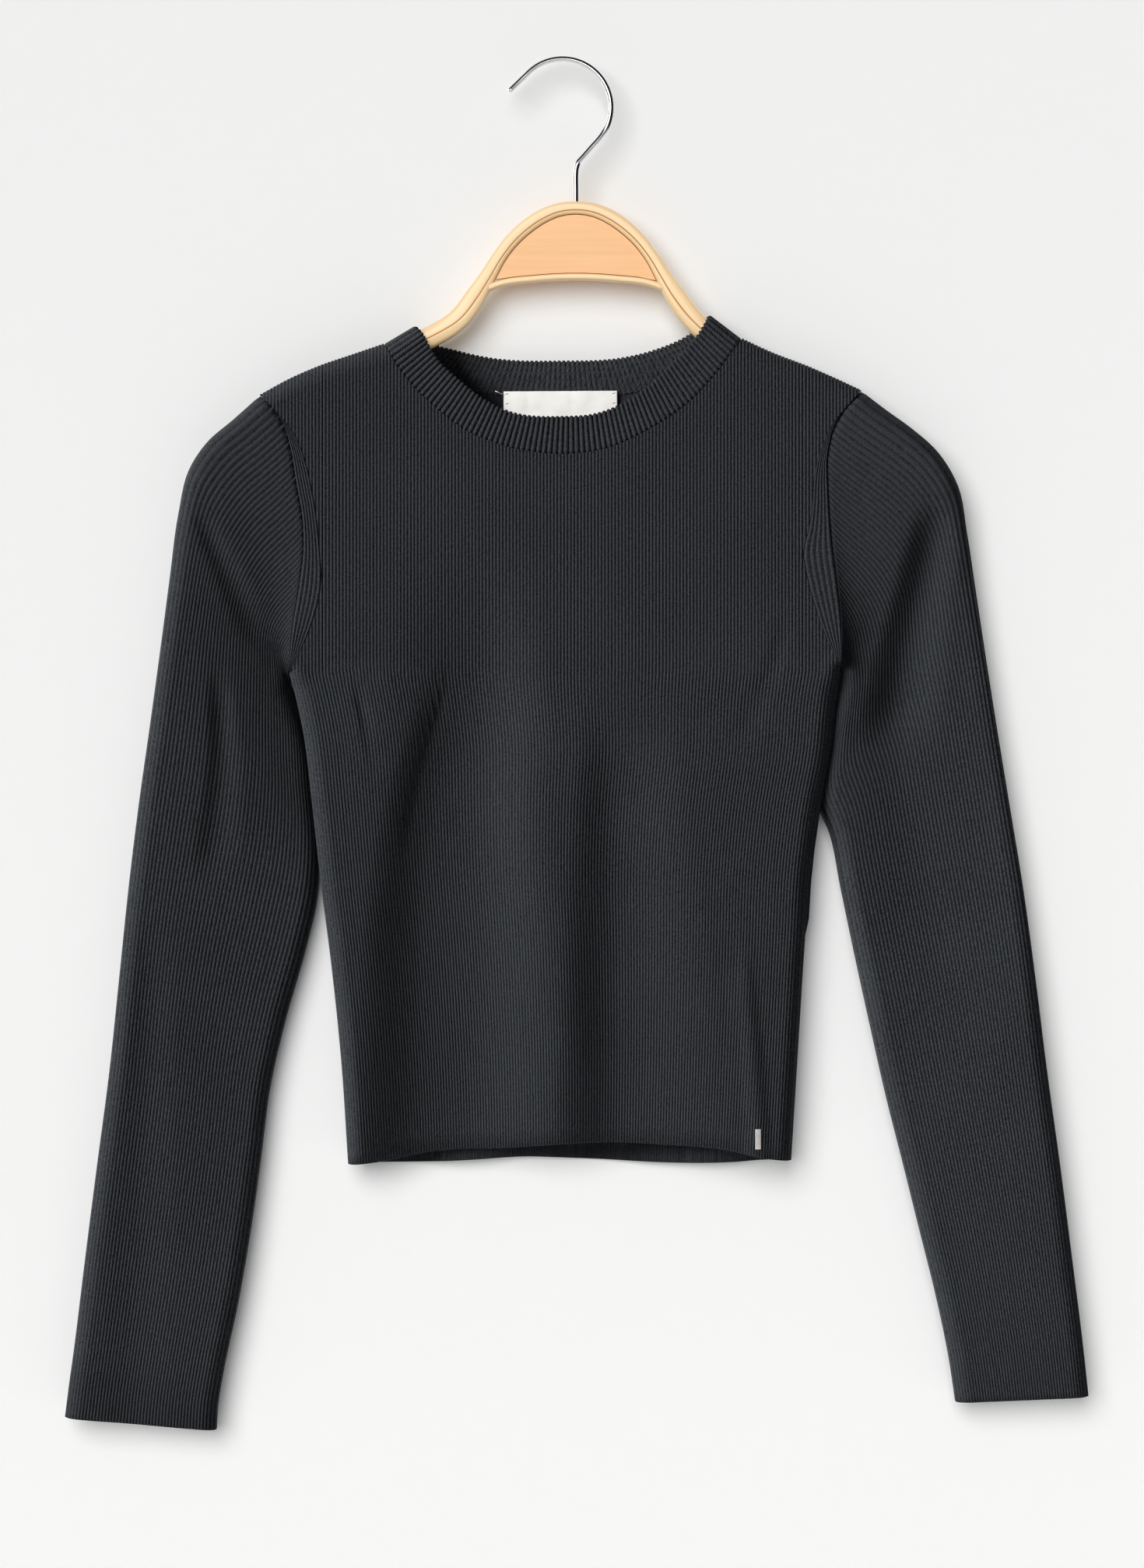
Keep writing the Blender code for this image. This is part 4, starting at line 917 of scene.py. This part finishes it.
class Look:
    """A Principled material with short calls for its nodes."""

    def __init__(self, name, roughness, **sockets):
        self.material = bpy.data.materials.new(name)
        self.material.use_nodes = True
        self.tree = self.material.node_tree
        self.shader = self.tree.nodes["Principled BSDF"]
        self.shader.inputs["Roughness"].default_value = roughness
        for socket, value in sockets.items():
            self.shader.inputs[socket.replace("_", " ")].default_value = value

    def node(self, kind, inputs=(), **settings):
        made = self.tree.nodes.new(kind)
        for name, value in settings.items():
            setattr(made, name, value)
        for socket, value in dict(inputs).items():
            if isinstance(value, bpy.types.NodeSocket):
                self.tree.links.new(value, made.inputs[socket])
            else:
                made.inputs[socket].default_value = value
        return made

    def math(self, operation, *values):
        return self.node("ShaderNodeMath", enumerate(values), operation=operation).outputs[0]

    def times(self, first, second):
        return self.math("MULTIPLY", first, second)

    def plus(self, first, second):
        return self.math("ADD", first, second)

    def minus(self, first, second):
        return self.math("SUBTRACT", first, second)

    def size(self, value):
        return self.math("ABSOLUTE", value)

    def noise(self, vector, scale, detail=2.0):
        made = self.node("ShaderNodeTexNoise", {"Vector": vector, "Scale": scale, "Detail": detail})
        return made.outputs["Fac"]

    def place(self, scale=(1.0, 1.0, 1.0)):
        """Places on the object in metres, stretched by a scale for each axis."""
        place = self.node("ShaderNodeTexCoord").outputs["Object"]
        return self.node("ShaderNodeMapping", {"Vector": place, "Scale": scale}).outputs[0]

    def lay(self):
        """The two numbers of the mesh's own UV map."""
        uv = self.node("ShaderNodeUVMap", uv_map="lay").outputs[0]
        return self.node("ShaderNodeSeparateXYZ", {0: uv}).outputs[:2]

    def colour(self, factor, stops):
        """Colours over a factor: pairs of place and linear colour."""
        ramp = self.node("ShaderNodeValToRGB", {"Fac": factor})
        elements = ramp.color_ramp.elements
        while len(elements) < len(stops):
            elements.new(0.5)
        for element, (place, shade) in zip(elements, stops):
            element.position = place
            element.color = (*shade, 1)
        self.tree.links.new(ramp.outputs["Color"], self.shader.inputs["Base Color"])

    def bump(self, height, distance, strength=1.0):
        inputs = {"Height": height, "Distance": distance, "Strength": strength}
        made = self.node("ShaderNodeBump", inputs)
        self.tree.links.new(made.outputs["Normal"], self.shader.inputs["Normal"])


def knit_look(name, painted_valley_shade):
    """Black knit: each rib is a chain of V stitches, with paler fibre in uneven patches.

    The second argument is how much of the colour is lost to painted shade in the valley between two
    ribs, from 0 to 1.
    """
    look = Look(name, 0.85, Specular_IOR_Level=0.08)
    rib, course = look.lay()
    across = look.size(look.minus(look.math("FRACT", rib), 0.5))
    lean = look.plus(course, look.times(across, 1.4))
    stitch = look.size(look.minus(look.math("FRACT", lean), 0.5))
    fibre = look.noise(look.place(), 900.0, 3.0)
    cloudy = look.noise(look.place(), 22.0, 3.0)
    lattice = look.node("ShaderNodeCombineXYZ", {0: rib, 1: course}).outputs[0]
    uneven = look.noise(lattice, 0.9, 1.0)
    # Painted shade: the colour darkens towards each valley between two ribs.
    valley = look.math("POWER", look.times(across, 2.0), 3.0)
    shade = look.minus(1.0, look.times(valley, painted_valley_shade))
    # Painted shade: the colour darkens in the dips between rows of stitches.
    painted_stitch_shade = look.minus(1.0, look.times(stitch, 0.35))
    shade = look.times(look.times(shade, painted_stitch_shade), 0.55)
    for texture, weight in ((fibre, 0.9), (uneven, 0.6), (cloudy, 0.15)):
        shade = look.plus(shade, look.times(texture, weight))
    shade = look.minus(shade, 0.6)
    look.colour(shade, [(0.15, KNIT_DARK), (0.85, KNIT_PALE)])
    height = look.minus(look.plus(fibre, uneven), stitch)
    look.bump(height, 0.3 * MM)
    return look.material


def wood_look():
    """Pale lacquered wood with long grain and a brown line in the groove."""
    look = Look("pale_beech_lacquered", 0.38, Coat_Weight=0.25, Coat_Roughness=0.2)
    along, beside = look.lay()
    vector = look.node("ShaderNodeCombineXYZ", {
        0: look.times(along, 0.02), 1: look.times(beside, 0.9)}).outputs[0]
    grain = look.noise(vector, 1.0, 4.0)
    off = look.math("DIVIDE", look.size(beside), 0.55)
    face = look.math("MINIMUM", look.math("POWER", off, 2.0), 1.0)
    factor = look.times(face, look.plus(look.times(grain, 0.5), 0.5))
    look.colour(factor, [(0.0, (0.50, 0.24, 0.08)), (0.35, (0.74, 0.44, 0.18)),
                         (0.62, (0.88, 0.60, 0.31)), (0.85, (0.95, 0.70, 0.40))])
    look.bump(grain, 0.04 * MM)
    return look.material


def inlay_look():
    """Tan wood with faint level grain."""
    look = Look("tan_inlay_wood", 0.4, Coat_Weight=0.2, Coat_Roughness=0.2)
    grain = look.noise(look.place((14.0, 14.0, 330.0)), 1.0, 5.0)
    broad = look.noise(look.place((18.0, 18.0, 60.0)), 1.0, 2.0)
    factor = look.plus(look.times(grain, 0.6), look.times(broad, 0.4))
    look.colour(factor, [(0.25, (0.82, 0.42, 0.17)), (0.52, (0.88, 0.48, 0.20)),
                         (0.78, (0.92, 0.52, 0.23))])
    look.bump(grain, 0.03 * MM)
    return look.material


def chrome_painted_reflection_look():
    """Polished wire, with painted reflections: dark where it faces up, bright where it faces down.
    """
    look = Look("polished_wire_painted_reflections", 0.12, Metallic=0.85)
    normal = look.node("ShaderNodeTexCoord").outputs["Normal"]
    parts = look.node("ShaderNodeSeparateXYZ", {0: normal}).outputs
    # Painted reflection: the colour turns dark where the wire faces up, less so where it faces +X,
    # and pale where it faces down.
    facing = look.plus(look.times(parts[2], 0.9),
                       look.times(parts[0], 0.45))
    factor = look.plus(look.times(facing, 0.5), 0.5)
    patchy = look.noise(look.place(), 70.0, 1.0)
    factor = look.plus(factor, look.times(patchy, 0.06))
    look.colour(factor, [(0.0, (0.75, 0.75, 0.76)), (0.30, (0.98, 0.98, 0.98)),
                         (0.49, (0.90, 0.90, 0.91)), (0.545, (0.04, 0.04, 0.045)),
                         (0.86, (0.02, 0.02, 0.025)), (0.98, (0.10, 0.10, 0.11))])
    return look.material


def woven_look(name, dull, bright):
    """Cream satin ribbon: fine warp and weft."""
    look = Look(name, 0.55, Sheen_Weight=0.15)
    x, z = look.lay()
    warp = look.size(look.math("SINE", look.times(x, 11.0)))
    weft = look.size(look.math("SINE", look.times(z, 9.0)))
    weave = look.times(look.plus(warp, weft), 0.5)
    soft = look.noise(look.place(), 160.0, 2.0)
    factor = look.plus(look.times(weave, 0.35), look.times(soft, 0.65))
    look.colour(factor, [(0.25, dull), (0.65, bright)])
    look.bump(weave, 0.03 * MM)
    return look.material


# ------------------------------------------------------------------ scene


def stage_look(name, colour):
    """Matt paper that can be looked through from behind, so that it hides no side."""
    material = bpy.data.materials.new(name)
    material.use_nodes = True
    tree = material.node_tree
    tree.nodes.clear()
    paper = tree.nodes.new("ShaderNodeBsdfDiffuse")
    paper.inputs["Color"].default_value = (*colour, 1)
    clear = tree.nodes.new("ShaderNodeBsdfTransparent")
    side = tree.nodes.new("ShaderNodeNewGeometry")
    mix = tree.nodes.new("ShaderNodeMixShader")
    output = tree.nodes.new("ShaderNodeOutputMaterial")
    tree.links.new(side.outputs["Backfacing"], mix.inputs[0])
    tree.links.new(paper.outputs[0], mix.inputs[1])
    tree.links.new(clear.outputs[0], mix.inputs[2])
    tree.links.new(mix.outputs[0], output.inputs["Surface"])
    return material


def plane(name, centre, size, turn, look):
    mesh = bpy.data.meshes.new(name)
    half_x, half_y = size[0] / 2, size[1] / 2
    mesh.from_pydata([(-half_x, -half_y, 0), (half_x, -half_y, 0), (half_x, half_y, 0),
                      (-half_x, half_y, 0)], [], [(0, 1, 2, 3)])
    mesh.materials.append(look)
    made = add(name, mesh)
    made.location, made.rotation_euler = centre, turn
    return made


def linked(name, objects, state):
    """A collection for light linking that includes or excludes some objects."""
    made = bpy.data.collections.new(name)
    for thing in objects:
        made.objects.link(thing)
    for entry in made.collection_objects:
        entry.light_linking.link_state = state
    return made


def sun(name, light, objects, state):
    """Soft parallel light that falls on the objects alone, or on all but them."""
    toward, strength, spread = light
    lamp = bpy.data.lights.new(name, "SUN")
    lamp.energy, lamp.angle = strength, math.radians(spread)
    made = add(name, lamp)
    x, y, z = unit(np.array(toward, float))
    made.rotation_euler = (math.acos(z), 0, math.atan2(y, x) + math.pi / 2)
    made.light_linking.receiver_collection = linked(f"{name}_receivers", objects, state)
    return made


WALL_Y = 17.2 * MM  # the sweater hangs against the wall
WALL_MIDDLE = -0.35
WALL_SIZE = (6.0, 3.0)
FLOOR_Z = -1.25
FLOOR_SIZE = (8.0, 8.0)
VIEW_CENTRE = (5.85 * MM, -417.6 * MM)
VIEW_HEIGHT = 906.3 * MM
CAMERA_DISTANCE = 2.4
PAPER = (0.87, 0.87, 0.865)

# Lights: the direction that each comes from, its strength, and its spread in degrees.
SIDE_LIGHT = ((-0.84, -0.42, 0.34), 6.5, 30)
STAGE_LIGHT = ((-0.30, -0.90, 0.32), 2.76, 50)
REAR_DIRECTIONS = [(0.55, 0.75, 0.36), (-0.65, 0.72, 0.1)]
REAR_SPREAD = 40
REAR_STRENGTH = 1.3
REAR_PLAIN_STRENGTH = 0.45  # on pale pieces, which would throw it back at the wall
WORLD_COLOUR = (1.0, 1.0, 1.0)
WORLD_STRENGTH = 0.09  # the light that it gives
WORLD_SEEN = 0.80  # how bright it looks where nothing stands in front of it


def camera():
    data = bpy.data.cameras.new("camera")
    data.sensor_width = 36.0
    data.lens = data.sensor_width * CAMERA_DISTANCE / VIEW_HEIGHT
    made = add("camera", data)
    made.location = (VIEW_CENTRE[0], -CAMERA_DISTANCE, VIEW_CENTRE[1])
    made.rotation_euler = (math.pi / 2, 0, 0)
    bpy.context.scene.camera = made


def surroundings():
    """Dim even light from all round, from a room that itself looks pale."""
    world = bpy.data.worlds.new("world")
    bpy.context.scene.world = world
    world.use_nodes = True
    tree = world.node_tree
    background = tree.nodes["Background"]
    background.inputs["Color"].default_value = (*WORLD_COLOUR, 1)
    path = tree.nodes.new("ShaderNodeLightPath")
    strength = tree.nodes.new("ShaderNodeMapRange")
    strength.inputs["To Min"].default_value = WORLD_STRENGTH
    strength.inputs["To Max"].default_value = WORLD_SEEN
    tree.links.new(path.outputs["Is Camera Ray"], strength.inputs["Value"])
    tree.links.new(strength.outputs[0], background.inputs["Strength"])


def studio(plain_lit):
    """A wall close behind, soft light from the upper left, and light on the back.

    The side light that brings out the ribs and folds leaves out the stage and the pieces in
    `plain_lit`, which have a softer light from nearer the camera. The wall doesn't keep the
    rear lights off the object.
    """
    camera()
    surroundings()
    paper = stage_look("pale_paper", PAPER)
    wall = plane("backdrop", (0, WALL_Y, WALL_MIDDLE), WALL_SIZE, (math.pi / 2, 0, 0), paper)
    floor = plane("floor", (0, 0, FLOOR_Z), FLOOR_SIZE, (0, 0, 0), paper)
    stage = [wall, floor]
    sun("side_light", SIDE_LIGHT, stage + plain_lit, "EXCLUDE")
    sun("stage_light", STAGE_LIGHT, stage + plain_lit, "INCLUDE")
    kinds = [("cloth", REAR_STRENGTH, stage + plain_lit, "EXCLUDE"),
             ("plain", REAR_PLAIN_STRENGTH, plain_lit, "INCLUDE")]
    for number, toward in enumerate(REAR_DIRECTIONS):
        for kind, strength, objects, state in kinds:
            name = f"rear_{kind}_light_{number}"
            rear = sun(name, (toward, strength, REAR_SPREAD), objects, state)
            rear.light_linking.blocker_collection = linked(f"{name}_blockers", stage, "EXCLUDE")
    bpy.context.scene.view_settings.view_transform = "Standard"


def build():
    knit = knit_look("black_rib_knit", 0.8)
    cloth = [panel(face, knit) for face in FACES]
    cloth += [sleeve(side, knit) for side in SIDES]
    cloth.append(collar(knit_look("black_collar_rib", 0.8)))
    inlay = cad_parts["hanger_panel"]
    inlay.data.materials[0] = inlay_look()
    hard = [hanger_frame(wood_look()), hook(chrome_painted_reflection_look()), inlay]
    woven = woven_look("cream_woven_label", (0.88, 0.84, 0.79), (0.97, 0.96, 0.92))
    ribbons = [tab(name, woven) for name in ("neck_label_ribbon", "size_tab_ribbon")]
    tab("hem_tab_ribbon", woven_look("grey_woven_tab", (0.30, 0.29, 0.28), (0.48, 0.47, 0.45)))
    label_stitches(woven_look("dark_thread", (0.01, 0.01, 0.012), (0.04, 0.04, 0.045)))
    thread_end(woven_look("sewing_thread", (0.80, 0.77, 0.70), (0.95, 0.93, 0.88)))
    studio(hard + ribbons)


build()
